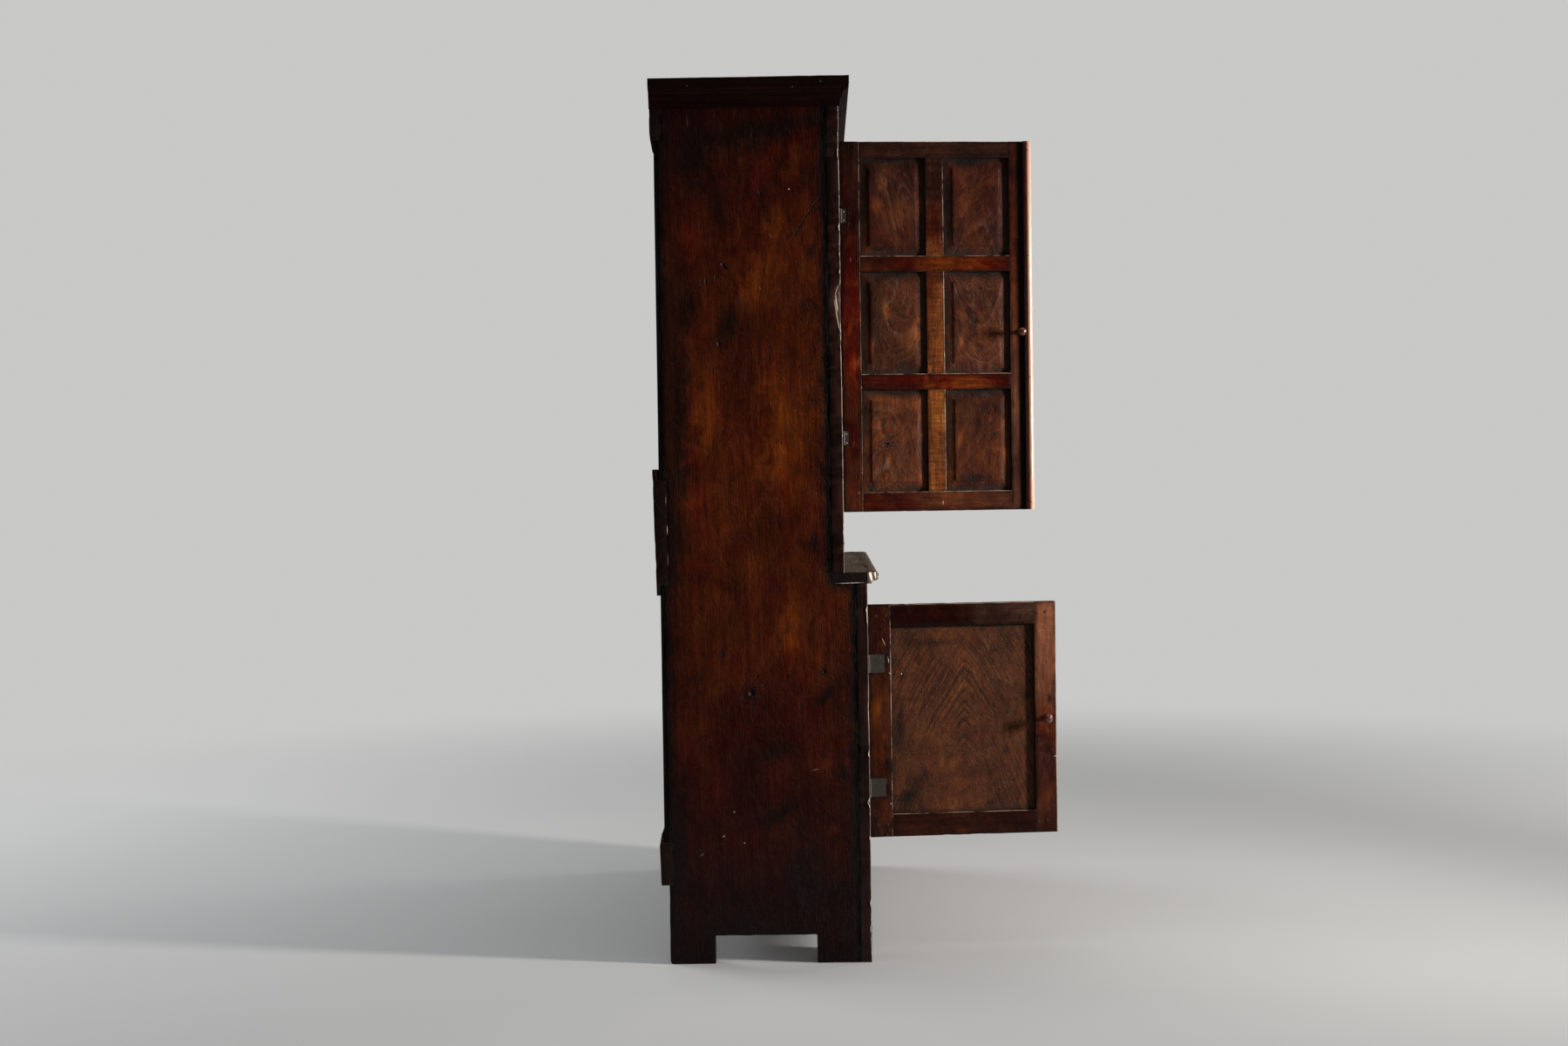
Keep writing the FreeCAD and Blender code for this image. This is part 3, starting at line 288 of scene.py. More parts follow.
class Wood:
    """The material of one kind of wood, with the marks that the photograph shows on one face of it.

    A mark is its kind, the place of its middle, its half width, its length as a multiple of that, and its
    angle from level. flat_axis is 0 on faces that are seen from the front and 1 on the sides. Marks are kept
    to where the place is below face, which is an axis and a level. A seam is its place across, the width of the
    gap, that of the dark band of dirt and painted shade beside it, and its lowest and highest point.
    """

    def __init__(self, name, look, marks=(), flat_axis=0, face=None, seams=()):
        t = self.t = Tree(name)
        self.look, self.marks, self.flat_axis = look, marks, flat_axis
        self.pith = t.attribute("pith", True)
        self.rim, self.corner, self.torn = t.split(t.attribute("rims", True))[0:3]
        self.tone = t.split(t.attribute("tone", True))
        place = t.split(t.attribute("place", True))
        self.flat = (place[flat_axis], place[2])
        self.only = None if face is None else t.math("LESS_THAN", place[face[0]], face[1])
        self.gain = self.deep = None
        self.make_noises()
        self.find_rings()
        self.color = self.figured()
        self.color = t.shade(self.color, self.brightness())
        self.soil_wear_and_painted_light()
        for seam in seams:
            self.draw_seam(*seam)
        self.height = self.grain_height()
        for mark in marks:
            self.draw(*mark)
        self.material = self.finished()

    def ellipse(self, at, half_long, half_wide, angle, ragged=None):
        """Distance on the marked face from the middle of an ellipse, 1 at its outline."""
        t = self.t
        # The depth of a side board runs leftward in the photograph, so its angles are the other way about
        angle = math.radians(180.0 - angle if self.flat_axis == 1 else angle)
        c, s = math.cos(angle), math.sin(angle)
        across, up = t.sub(self.flat[0], at[0]), t.sub(self.flat[1], at[1])
        run = t.add(t.mul(across, c / half_long), t.mul(up, s / half_long))
        off = t.sub(t.mul(up, c / half_wide), t.mul(across, s / half_wide))
        if ragged is not None:
            off = t.add(off, ragged)
        return t.vector("LENGTH", t.join(run, off, 0.0))

    def spot(self, at, half_long, half_wide, angle, soft=0.5, ragged=None):
        """1 in an ellipse on the marked face and 0 outside it, with a soft outline."""
        distance = self.ellipse(at, half_long, half_wide, angle, ragged)
        inside = self.t.remap(distance, 1.0 - soft, 1.0, 1.0, 0.0)
        return inside if self.only is None else self.t.mul(inside, self.only)

    def blot(self, at, size, shape, angle):
        """A patch with a frayed outline."""
        return self.spot(at, size * shape, size, angle, 1.0, self.frayed)

    def blend(self, share, color):
        self.color = self.t.mix(share, self.color, color)

    def sink(self, share):
        self.deep = share if self.deep is None else self.t.add(self.deep, share)

    def make_noises(self):
        t = self.t
        for name, how in NOISES.items():
            setattr(self, name, t.noise(self.pith, 1.0, *how))
        self.pits = t.remap(self.pits, 0.66, 0.72)
        self.fleck = t.remap(self.fleck, 0.56, 0.70)
        self.frayed = t.sway(self.patch, 2.4)
        # Hairlines that wander along the grain, here and there
        vein = t.remap(t.math("ABSOLUTE", t.sub(self.vein, 0.5)), 0.002, 0.013, 1.0, 0.0)
        self.vein = t.mul(vein, t.remap(self.veined, 0.46, 0.60))

    def find_rings(self):
        """The soft wood of each year, a number for each year, and the pores, which are in the soft wood."""
        t, look = self.t, self.look
        px, py = t.split(self.pith)[0:2]
        if look.point == 2.0:
            radius = t.vector("LENGTH", t.join(px, py, 0.0))
        else:
            parts = [t.math("POWER", t.math("ABSOLUTE", p), look.point) for p in (px, py)]
            radius = t.math("POWER", t.add(*parts), 1.0 / look.point)
        radius = t.add(radius, t.sway(self.wander, look.wander))
        radius = t.add(radius, t.sway(self.ripple, 0.0034))
        for kind, at, size, shape, angle in self.marks:
            if kind in ("knot", "swell"):
                swell = self.spot(at, size * 4.0, size * 2.4, angle, 1.0)
                radius = t.add(radius, t.mul(swell, look.ring * shape))
        # Rings are wide in good years and narrow in bad ones
        phase = t.math("DIVIDE", radius, look.ring)
        phase = t.add(phase, t.mul(t.noise(t.join(radius, 0.0, 0.0), 90.0, 1.0), 2.2))
        part = t.math("FRACT", phase)
        self.early = t.mul(t.math("POWER", t.sub(1.0, part), 1.7), t.remap(part, 0.0, 0.12))
        yearly = t.node("ShaderNodeTexWhiteNoise", noise_dimensions="1D")
        t.put(yearly.inputs["W"], t.math("FLOOR", phase))
        self.yearly = yearly.outputs[0]
        self.pores = t.mul(t.remap(self.pores, 0.54, 0.66), t.add(0.25, self.early), True)

    def figured(self):
        """Red where the polish is whole and amber where it is worn, with the rings, and dull in places."""
        t, look = self.t, self.look
        warmth = t.remap(self.hue, 0.36, 0.64, -look.mottle, look.mottle, False)
        warmth = t.add(warmth, self.tone[1])
        shown = t.remap(self.seen, 0.42, 0.60, look.shy, 1.0)
        for kind, *how in self.marks:
            if kind in WARMING:
                m = self.blot(*how)
                warmth = t.add(warmth, t.mul(m, WARMING[kind]))
                gain = t.add(1.0, t.mul(m, WARM_GAIN))
                self.gain = gain if self.gain is None else t.mul(self.gain, gain)
            elif kind == "figure":
                shown = t.math("MAXIMUM", shown, self.blot(*how))
        shown = t.mul(shown, t.remap(self.yearly, 0.15, 0.75, 1.0 - look.uneven, 1.0, False))
        color = t.mix(t.add(warmth, 0.0, True), look.red, look.amber)
        rings = t.mul(t.mul(self.early, shown), look.contrast)
        return t.mix(t.attribute("dust"), t.mix(rings, color, look.line or look.dark), DUSTY)

    def brightness(self):
        t, look, mottle = self.t, self.look, self.look.mottle
        factors = [
            (self.broad, 0.34, 0.66, 1.0 - 0.95 * mottle, 1.0 + 0.80 * mottle),
            (self.patch, 0.32, 0.68, 1.0 - 0.60 * mottle, 1.0 + 0.60 * mottle),
            (self.streak, 0.32, 0.68, 0.78, 1.22),
            (self.fibre, 0.34, 0.66, 0.70, 1.30),
            (self.pits, 0.0, 1.0, 1.0, 0.45),
            (self.vein, 0.0, 1.0, 1.0, 1.0 - look.veins),
            (self.fleck, 0.0, 1.0, 1.0, 1.35),
            (self.yearly, 0.0, 1.0, 0.90, 1.10),
        ]
        if look.flame:
            # Stripes of light across the grain, as curled wood has
            factors.append((self.curl, 0.35, 0.65, 1.0 - look.flame, 1.0 + look.flame))
        level = t.mul(self.tone[0], t.sub(1.0, t.mul(self.pores, look.pores)))
        for factor in factors:
            level = t.mul(level, t.remap(*factor, False))
        return level if self.gain is None else t.mul(level, self.gain)

    def soil_wear_and_painted_light(self):
        t, look = self.t, self.look
        # Darkens near the outline of a board: dirt that gathers there, and painted shade in the recesses and
        # corners between parts
        darkening = t.add(self.rim, t.sway(self.patch, 1.6 * look.grime_and_shade_width))
        self.dirt_and_shade = t.remap(darkening, 0.0, look.grime_and_shade_width, 1.0, 0.0)
        self.blend(t.mul(self.dirt_and_shade, look.grime_and_shade), look.dark)
        self.blend(t.mul(t.mul(self.dirt_and_shade, self.tone[2]), 0.6), BLOOM)
        # The front arrises are painted pale in stretches: worn wood, and painted highlight where
        # the light catches them
        lit_worn = t.remap(self.corner, 0.0005, 0.0017, 1.0, 0.0)
        lit_worn = t.mul(lit_worn, t.remap(self.stretches, look.whole - 0.10, look.whole + 0.10))
        self.blend(t.mul(lit_worn, look.worn_and_lit), look.bare_and_lit)
        fresh = t.shade(TORN, t.remap(self.fibre, 0.34, 0.66, 0.5, 1.5, False))
        self.blend(t.remap(self.torn, 0.45, 0.8), fresh)

    def draw_seam(self, at, core, soft, low, high):
        """Darkens where one board stops against the next: a dark joint, with dirt and painted shade beside it.
        """
        t = self.t
        gap = t.add(t.math("ABSOLUTE", t.sub(self.flat[0], at)), t.sway(self.patch, soft * 0.6))
        within = t.mul(t.math("GREATER_THAN", self.flat[1], low), t.math("LESS_THAN", self.flat[1], high))
        self.blend(t.mul(t.remap(gap, core, soft, 1.0, 0.0), within), SEAM_AND_SHADE)

    def grain_height(self):
        t = self.t
        height = t.mul(self.pores, -1.0)
        for relief, weight in ((self.early, -0.6), (self.fibre, 1.2), (self.pits, -2.0),
                               (self.vein, -1.6 * self.look.veins), (self.fleck, 0.8)):
            height = t.add(height, t.mul(relief, weight))
        return height

    def draw(self, kind, at, size, shape, angle):
        t, look = self.t, self.look
        if kind == "knot":
            self.draw_knot(at, size, angle)
        elif kind in BLOTS:
            share, into = BLOTS[kind]
            self.blend(t.mul(self.blot(at, size, shape, angle), share), into or look.dark)
        elif kind in SPOTS:
            soft, loose, share, into, sunk = SPOTS[kind]
            ragged = t.sway(self.jitter, loose) if loose else None
            m = self.spot(at, size * shape, size, angle, soft, ragged)
            self.blend(t.mul(m, share), into or look.bare_and_lit)
            if sunk:
                self.sink(m)

    def draw_knot(self, at, size, angle):
        """A dark eye with rings about it that fade outward."""
        t, look = self.t, self.look
        self.blend(t.mul(self.spot(at, size * 1.3, size, angle, 0.8), 0.75), look.dark)
        hole = self.spot(at, size * 0.5, size * 0.4, angle)
        self.blend(hole, HOLE)
        far = self.ellipse(at, size, size * 0.7, angle, t.sway(self.ripple, 3.2))
        far = t.add(far, t.sway(self.patch, 2.6))
        lines = t.remap(t.math("SINE", t.mul(far, 6.5)), 0.2, 0.95)
        lines = t.mul(lines, t.remap(far, 1.0, 3.4, 0.55, 0.0))
        lines = t.mul(lines, t.remap(self.streak, 0.36, 0.56))
        if self.only is not None:
            lines = t.mul(lines, self.only)
        self.blend(lines, look.dark)
        self.height = t.sub(self.height, t.mul(lines, 1.5))
        self.sink(t.add(hole, t.mul(lines, 0.35)))

    def finished(self):
        t, look = self.t, self.look
        normal = t.bump(self.height, 0.00025 * look.relief, 0.8)
        waves = t.add(self.patch, t.mul(self.swellings, 0.35))
        normal = t.bump(waves, 0.0030 * look.relief, 0.6, normal)
        if self.deep is not None:
            normal = t.bump(t.mul(self.deep, -1.0), 0.004, 1.0, normal)
        rough = t.remap(self.patch, 0.3, 0.7, look.rough - 0.08, look.rough + 0.12, False)
        rough = t.add(rough, t.mul(self.pores, 0.25))
        rough = t.add(rough, t.mul(self.dirt_and_shade, 0.12), True)
        return t.surface(self.color, rough, normal, IOR=1.42, Specular_IOR_Level=look.shine,
                         Coat_Weight=look.polish, Coat_Roughness=0.12)


def wood(*how):
    return Wood(*how).material


def iron(name, color, rust, rough, metal):
    """Iron with rust in blotches."""
    t = Tree(name)
    co = t.attribute("place", True)
    blotch = t.noise(co, 110.0, 4.0, 0.6)
    grit = t.noise(co, 800.0, 3.0, 0.6)
    base = t.mix(t.mul(t.remap(blotch, 0.48, 0.64), 0.7), color, rust)
    base = t.shade(base, t.remap(grit, 0.2, 0.8, 0.6, 1.4, False))
    normal = t.bump(grit, 0.0003, 0.7)
    normal = t.bump(blotch, 0.0012, 0.7, normal)
    rough = t.remap(blotch, 0.3, 0.7, rough - 0.10, rough + 0.18, False)
    return t.surface(base, rough, normal, Metallic=metal, IOR=1.5)


FLOOR_FADE = (1.3, 4.6)  # metres from the object


def floor_material():
    """A pale floor that fades into the background far from the object."""
    t = Tree("studio_floor")
    co = t.node("ShaderNodeTexCoord").outputs["Object"]
    cloud = t.noise(co, 0.9, 3.0, 0.5)
    fine = t.noise(co, 260.0, 2.0, 0.5)
    base = t.mix(cloud, (0.52, 0.52, 0.515), (0.57, 0.57, 0.565))
    base = t.shade(base, t.remap(fine, 0.2, 0.8, 0.985, 1.015, False))
    normal = t.bump(fine, 0.0002, 0.2)
    t.surface(base, 0.6, normal, IOR=1.2)
    far = t.remap(t.vector("LENGTH", co), *FLOOR_FADE)
    clear = t.node("ShaderNodeBsdfTransparent").outputs[0]
    solid = t.out.inputs[0].links[0].from_socket
    both = t.node("ShaderNodeMixShader", far, solid, clear)
    t.links.new(both.outputs[0], t.out.inputs[0])
    return t.mat


# Places read off the photograph


def height_of(v):
    return EYE_HEIGHT + (VANISHING.y - v) * PIXEL


def on_side(u, v):
    """The point of the near side board that the photograph shows at a pixel, as depth and height."""
    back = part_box("left_side_board")[1].y
    lean = (VANISHING.y - v) * PIXEL * LEAN
    return back - EYE_FROM_BACK - (u - VANISHING.x) * PIXEL - lean, height_of(v)


def on_door(hinge_u, scale):
    """The same for an open left-hand door, as width and height while it is shut."""
    hinge = joints["upper_left_door_hinge"]["pos_m"][0]
    return lambda u, v: (hinge + (u - hinge_u) * scale, EYE_HEIGHT + (VANISHING.y - v) * scale)


on_upper = on_door(963.0, 0.00200)  # pixel of the hinges, metres to a pixel
on_lower = on_door(998.0, 0.00207)


def marked(where, unit, rows):
    """Marks from rows of kind, pixel across and down, half width in the unit, length to width, angle."""
    return [(kind, where(u, v), size * unit, shape, angle) for kind, u, v, size, shape, angle in rows]


def upright(kind, where, v, x, half_wide, shape=160.0):
    """A line up a door, at x while the door is shut. The pixel v gives its middle."""
    return kind, (x, where(0, v)[1]), half_wide, shape, 90


# The glints are painted highlights beside dents and cracks, and the two stains along the top are painted shade
# under the cornice
SIDE_MARKS = marked(on_side, PIXEL, [
    ("knot", 863, 795, 7.5, 3.4, 80), ("knot", 829, 750, 3.5, 1.6, 75), ("knot", 920, 349, 4, 1.8, 85),
    ("knot", 946, 771, 5, 1.6, 50), ("swell", 885, 772, 7, 2, 40), ("swell", 868, 250, 14, 2.6, 60),
    ("swell", 812, 322, 8, 2, 90), ("swell", 905, 640, 16, 2.4, 70), ("dent", 873, 224, 1.9, 3.6, 116),
    ("dent", 831, 305, 2.8, 2.3, 122), ("dent", 825, 394, 2, 2.2, 100), ("dent", 862, 794, 4, 1.4, 80),
    ("dent", 876, 787, 1.2, 4, 115), ("dent", 869, 776, 1, 3.4, 50), ("dent", 884, 770, 1.1, 3, 45),
    ("dent", 917, 785, 1, 3, 120), ("dent", 853, 229, 0.9, 6, 128), ("dent", 876, 237, 0.9, 6, 132),
    ("dent", 810, 321, 1.3, 4, 96), ("dent", 821, 318, 1.2, 4, 86), ("dent", 804, 323, 0.9, 5, 90),
    ("crack", 924, 251, 1.2, 31, 56), ("crack", 941, 921, 0.9, 9, -32), ("crack", 942, 937, 0.9, 11, 58),
    ("crack", 804, 697, 0.8, 8, -38), ("crack", 863, 815, 0.9, 15, 89), ("crack", 866, 806, 0.8, 9, 62),
    ("scratch", 789, 139, 0.6, 14, 95), ("glint", 842, 932, 0.6, 2.2, 60), ("glint", 830, 960, 0.6, 3, 35),
    ("glint", 854, 968, 0.6, 2.2, 60), ("scratch", 805, 981, 0.7, 5, 45), ("glint", 905, 218, 0.9, 1.6, 60),
    ("scratch", 872, 330, 0.5, 8, 120), ("scratch", 884, 271, 0.5, 9, 118),
    ("scratch", 936, 884, 0.7, 8, 8), ("stain", 946, 798, 12, 2.6, 34), ("stain", 952, 206, 22, 2.4, 100),
    ("stain", 890, 146, 18, 4.6, 4), ("stain", 900, 932, 17, 2.6, 24), ("stain", 925, 1010, 38, 1.7, 90),
    ("stain", 850, 1062, 22, 3.6, 4), ("stain", 824, 236, 16, 2.6, 88), ("stain", 834, 372, 20, 2.4, 58),
    ("stain", 895, 862, 18, 2.4, 12), ("stain", 790, 350, 14, 3, 80), ("stain", 778, 470, 20, 15, 89),
    ("stain", 792, 180, 40, 2.2, 86), ("stain", 840, 160, 30, 3, 10), ("stain", 776, 960, 24, 5, 89),
    ("ruby", 790, 270, 18, 3.4, 88), ("ruby", 800, 560, 18, 4, 92), ("ruby", 822, 905, 22, 2.6, 84),
    ("ruby", 868, 210, 16, 2.4, 70), ("glow", 870, 325, 28, 2, 60), ("glow", 886, 258, 16, 2.4, 70),
    ("glow", 912, 186, 16, 2, 70), ("glow", 896, 500, 40, 3, 92), ("glow", 905, 720, 32, 1.7, 78),
    ("glow", 812, 470, 22, 3.2, 90), ("glow", 950, 880, 16, 2, 76), ("glow", 954, 954, 10, 1.6, 20),
])
UPPER_PANEL_MARKS = marked(on_upper, MM, [
    ("glow", 1010, 216, 22, 1.8, 104), ("glow", 1004, 240, 16, 1.6, 90), ("ruby", 1003, 274, 16, 1.8, 80),
    ("figure", 1022, 262, 38, 1.4, 70), ("stain", 1026, 189, 10, 5, 0), ("stain", 1008, 290, 8, 4, 4),
    ("ruby", 1140, 210, 16, 2, 80), ("figure", 1130, 262, 36, 1.6, 52), ("stain", 1108, 194, 18, 2.8, 4),
    ("stain", 1087, 268, 10, 4, 88), ("swell", 1024, 340, 14, 4, 90), ("figure", 1006, 358, 42, 1.8, 88),
    ("glow", 1014, 362, 11, 3.4, 96), ("glow", 997, 403, 10, 3.4, 84), ("glow", 1046, 385, 26, 2.2, 88),
    ("dusty", 1027, 329, 5, 3, 90), ("swell", 1122, 338, 15, 4, 90), ("figure", 1112, 345, 40, 1.5, 60),
    ("glow", 1102, 364, 20, 1.7, 84), ("glow", 1099, 397, 11, 2.4, 80), ("dusty", 1092, 398, 5, 5, 84),
    ("knot", 1013, 511, 9, 2.4, 8), ("glow", 1005, 491, 8, 3.8, 98), ("glow", 1013, 532, 9, 3, 70),
    ("dusty", 1049, 498, 4, 20, 88), ("stain", 996, 558, 14, 2, 60), ("figure", 1012, 510, 30, 2.2, 88),
    ("knot", 1135, 501, 6, 2.4, 20), ("smudge", 1125, 472, 18, 1.6, 60), ("dusty", 1128, 455, 14, 1.6, 10),
    ("glow", 1148, 489, 8, 2.4, 80), ("glow", 1148, 524, 9, 2.6, 96), ("glow", 1098, 503, 12, 2.2, 70),
    ("stain", 1110, 550, 18, 3, 4),
])
# The tops of all panels are darkened, and the left-hand bevels of the highest carry painted shade: left,
# right, top, bottom in pixels
for left, right, top, bottom in ((986, 1060, 184, 290), (1083, 1153, 184, 290), (987, 1063, 313, 428),
                                 (1087, 1158, 313, 428), (989, 1065, 449, 563), (1088, 1158, 449, 563)):
    darkening = [("stain", left + 4, (top + bottom) / 2, 14, 7, 88)] if top < 300 else []
    darkening.append(("stain", (left + right) / 2, top + 4, 18, 5, 1))
    UPPER_PANEL_MARKS += marked(on_upper, MM, darkening)
# The glints are painted highlights
UPPER_FRAME_MARKS = marked(on_upper, MM, [
    ("crack", 980, 300, 1.1, 60, 90), ("crack", 979, 545, 1.1, 34, 84), ("glint", 1076, 578, 0.9, 7, 96),
    ("scratch", 974, 303, 0.8, 9, 92), ("glint", 980, 566, 0.8, 5, 80), ("dent", 1178, 577, 1.4, 1.4, 0),
    ("glow", 977, 418, 18, 2.6, 90), ("smudge", 1020, 574, 8, 6, 6),
])
# Painted shadow that the strip casts on the stile beside it, and on the strip a painted highlight on its
# right half and painted shade on its left
UPPER_FRAME_MARKS.append(upright("black", on_upper, 370, -0.0205, 0.0070))
STRIP_MARKS = [
    upright("lit", on_upper, 370, 0.0005, 0.0088),
    upright("black", on_upper, 370, -0.0165, 0.0040),
]
# The glints are painted highlights
LOWER_FRAME_MARKS = marked(on_lower, MM, [
    ("crack", 1019, 745, 1, 30, 116), ("crack", 1022, 735, 1, 22, 80), ("glint", 1015, 728, 0.8, 16, 114),
    ("glint", 1020, 748, 1, 10, 100), ("glint", 1022, 763, 0.9, 6, 150),
    ("scratch", 1016, 880, 0.8, 14, 108), ("glint", 1021, 906, 0.8, 5, 160),
    ("scratch", 1017, 942, 0.8, 12, 92), ("glint", 1206, 858, 0.9, 10, 14),
    ("scratch", 1212, 866, 0.8, 9, 12), ("dent", 1166, 704, 1.6, 5, 45), ("smudge", 1196, 850, 12, 2.4, 70),
    ("smudge", 1160, 944, 8, 6, 4), ("glow", 1012, 938, 8, 1.8, 80), ("glow", 1008, 800, 10, 2.6, 86),
    ("glow", 1014, 832, 8, 2.2, 100), ("stain", 1017, 862, 10, 2.4, 84), ("stain", 1006, 752, 10, 2, 90),
    ("glow", 1050, 944, 10, 3, 6), ("glow", 1098, 940, 10, 2.4, 4), ("stain", 1200, 795, 12, 1.6, 80),
    ("smudge", 1203, 818, 14, 1.4, 80), ("smudge", 1208, 900, 14, 3, 86),
])
# A painted highlight all along the free edge of the lower door
LOWER_FRAME_MARKS.append(upright("lit", on_lower, 822, -0.0014, 0.0015, 170.0))
# The glint is a painted highlight
LOWER_PANEL_MARKS = marked(on_lower, MM, [
    ("stain", 1046, 805, 2.2, 9, 0), ("smudge", 1070, 731, 14, 6.5, 1), ("stain", 1040, 922, 16, 3.4, 4),
    ("stain", 1105, 926, 10, 14, 1), ("figure", 1102, 825, 50, 3.6, 90), ("figure", 1080, 780, 40, 2.6, 78),
    ("smudge", 1174, 791, 14, 1.8, 40), ("smudge", 1143, 776, 12, 1.8, 130),
    ("smudge", 1138, 740, 8, 3, 10), ("smudge", 1131, 909, 16, 1.8, 20), ("smudge", 1150, 850, 12, 2.6, 96),
    ("smudge", 1060, 875, 14, 2, 100), ("smudge", 1035, 768, 10, 2.6, 80),
    ("stain", 1040, 900, 30, 2.4, 60), ("stain", 1032, 820, 22, 5, 90), ("dent", 1063, 767, 1.6, 1.8, 30),
    ("dent", 1104, 752, 1.4, 3.4, 6), ("dent", 1103, 785, 1.4, 3, 174), ("dent", 1104, 797, 1.5, 3.4, 4),
    ("glint", 1035, 764, 0.9, 4, 110), ("scratch", 1079, 840, 0.7, 5, 60),
])
# Painted shade on the end of the waist board, and a painted highlight along its lower edge
WAIST_MARKS = marked(on_side, PIXEL, [
    ("black", 975, 662, 16, 2.6, 0), ("glint", 976, 669.5, 0.6, 34, 1),
])
# Painted highlights on the two rounded bands at the end of the nosing, and painted shade in the grooves beside
# them
NOSE_MARKS = marked(on_side, PIXEL, [
    ("lit", 999.5, 662, 1.9, 4, -78), ("lit", 1005.5, 661, 2, 3.4, -82),
    ("black", 1002.5, 664, 1.2, 5, -80), ("black", 995.8, 664, 1.6, 5, -80),
])
# The glint is a painted highlight along the edge of the rail
RAIL_MARKS = marked(on_side, PIXEL, [
    ("crack", 758, 579, 0.9, 20, 116), ("glint", 765.5, 606, 0.5, 14, 90),
    ("scratch", 766, 640, 0.6, 16, 90), ("scratch", 764, 572, 0.5, 12, 88),
    ("dent", 772, 1014, 2.4, 1.2, 0),
])
# Painted highlights on the rim of the place where a splinter is gone
SPLINTER_MARKS = marked(on_side, PIXEL, [
    ("lit", 961.6, 366, 0.7, 38, 97), ("lit", 960.9, 335, 0.6, 15, 74), ("lit", 961.6, 349, 1.3, 9, 94),
])

CASE = Look(BLACKISH, (0.058, 0.0046, 0.0010), (0.090, 0.0168, 0.0010), mottle=0.42, grime_and_shade=0.9,
            contrast=0.60, grime_and_shade_width=0.032, worn_and_lit=0.25, polish=0.08, shy=0.35, veins=0.3, relief=1.6,
            shine=0.09)
EDGE = Look(BLACKISH, (0.040, 0.0050, 0.0022), (0.060, 0.0130, 0.0026), mottle=0.42, grime_and_shade=0.6,
            contrast=0.35, grime_and_shade_width=0.006, worn_and_lit=1.0, whole=0.34, relief=0.6, bare_and_lit=(0.46, 0.36, 0.28))
FACE = Look(BLACKISH, (0.046, 0.0056, 0.0020), (0.082, 0.0180, 0.0034), mottle=0.36, grime_and_shade=0.6,
            contrast=0.45, grime_and_shade_width=0.008, worn_and_lit=0.7, polish=0.10, shine=0.10, veins=0.2,
            bare_and_lit=(0.30, 0.17, 0.10))
TRIM = Look(BLACKISH, (0.036, 0.0060, 0.0026), (0.050, 0.0130, 0.0042), mottle=0.3, polish=0.03,
            shine=0.06, grime_and_shade=0.5, contrast=0.35, grime_and_shade_width=0.006, worn_and_lit=0.25)
BACK = Look((0.010, 0.0065, 0.0048), (0.060, 0.0360, 0.0240), (0.090, 0.0600, 0.0400), mottle=0.34,
            contrast=0.6, grime_and_shade=0.6, grime_and_shade_width=0.020, rough=0.66, relief=1.4, worn_and_lit=0.1, polish=0.0)
FRAME = Look((0.009, 0.0030, 0.0018), (0.082, 0.0036, 0.0008), (0.175, 0.0380, 0.0024), mottle=0.50,
             contrast=0.45, grime_and_shade=0.6, grime_and_shade_width=0.010, rough=0.34, worn_and_lit=0.9, polish=0.09,
             bare_and_lit=(0.46, 0.27, 0.17), veins=0.2, shine=0.10)
HONEY = Look((0.016, 0.005, 0.0026), (0.125, 0.0120, 0.0030), (0.270, 0.0860, 0.0130), mottle=0.34,
             contrast=0.25, flame=0.34, grime_and_shade=0.5, grime_and_shade_width=0.006, rough=0.34, worn_and_lit=0.9,
             bare_and_lit=(0.55, 0.36, 0.24))
PANEL = Look((0.008, 0.0056, 0.0046), (0.056, 0.0092, 0.0040), (0.155, 0.0380, 0.0070), mottle=0.50,
             contrast=0.85, ring=0.0038, grime_and_shade=0.85, grime_and_shade_width=0.026, rough=0.42, relief=1.3,
             wander=0.030, worn_and_lit=0.0, line=(0.104, 0.062, 0.040), shy=0.12, veins=0.1, shine=0.12,
             polish=0.02)
COARSE = Look((0.005, 0.0020, 0.0012), (0.084, 0.0205, 0.0064), (0.126, 0.0420, 0.0100), mottle=0.38,
              contrast=1.0, ring=0.0100, veins=0.1, grime_and_shade=0.80, grime_and_shade_width=0.022, rough=0.40, relief=1.4,
              wander=0.016, worn_and_lit=0.0, point=1.2, shy=0.10, uneven=0.2)
STRIP = Look((0.020, 0.006, 0.004), (0.120, 0.0180, 0.0090), (0.180, 0.0400, 0.0200), mottle=0.25,
             contrast=0.3, grime_and_shade=0.2, polish=0.5, rough=0.32, worn_and_lit=0.0, bare_and_lit=(0.46, 0.275, 0.185))
WAIST = Look((0.012, 0.008, 0.006), (0.120, 0.0920, 0.0600), (0.165, 0.1240, 0.0820), mottle=0.32,
             contrast=0.5, grime_and_shade=0.4, rough=0.42, worn_and_lit=0.7, bare_and_lit=(0.72, 0.56, 0.44))
INNER = Look((0.040, 0.022, 0.013), (0.150, 0.0780, 0.0420), (0.210, 0.1150, 0.0600), mottle=0.34,
             contrast=0.6, grime_and_shade=0.5, grime_and_shade_width=0.030, rough=0.60, relief=1.4, worn_and_lit=0.1)
KNOB = Look((0.020, 0.008, 0.006), (0.085, 0.0220, 0.0140), (0.130, 0.0420, 0.0220), mottle=0.25,
            contrast=0.4, ring=0.0018, polish=1.0, grime_and_shade=0.0, rough=0.16, wander=0.004, relief=0.3,
            worn_and_lit=0.0)
PEG = Look((0.007, 0.003, 0.002), (0.034, 0.0090, 0.0050), (0.060, 0.0200, 0.0090), mottle=0.2,
           contrast=0.5, ring=0.0016, grime_and_shade=0.0, rough=0.45, wander=0.003, worn_and_lit=0.0)

side_face = (0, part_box("left_side_board")[0].x + 0.004)
waist_face, nose_face = ((0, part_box("waist_board")[0].x + depth) for depth in (0.0012, 0.016))
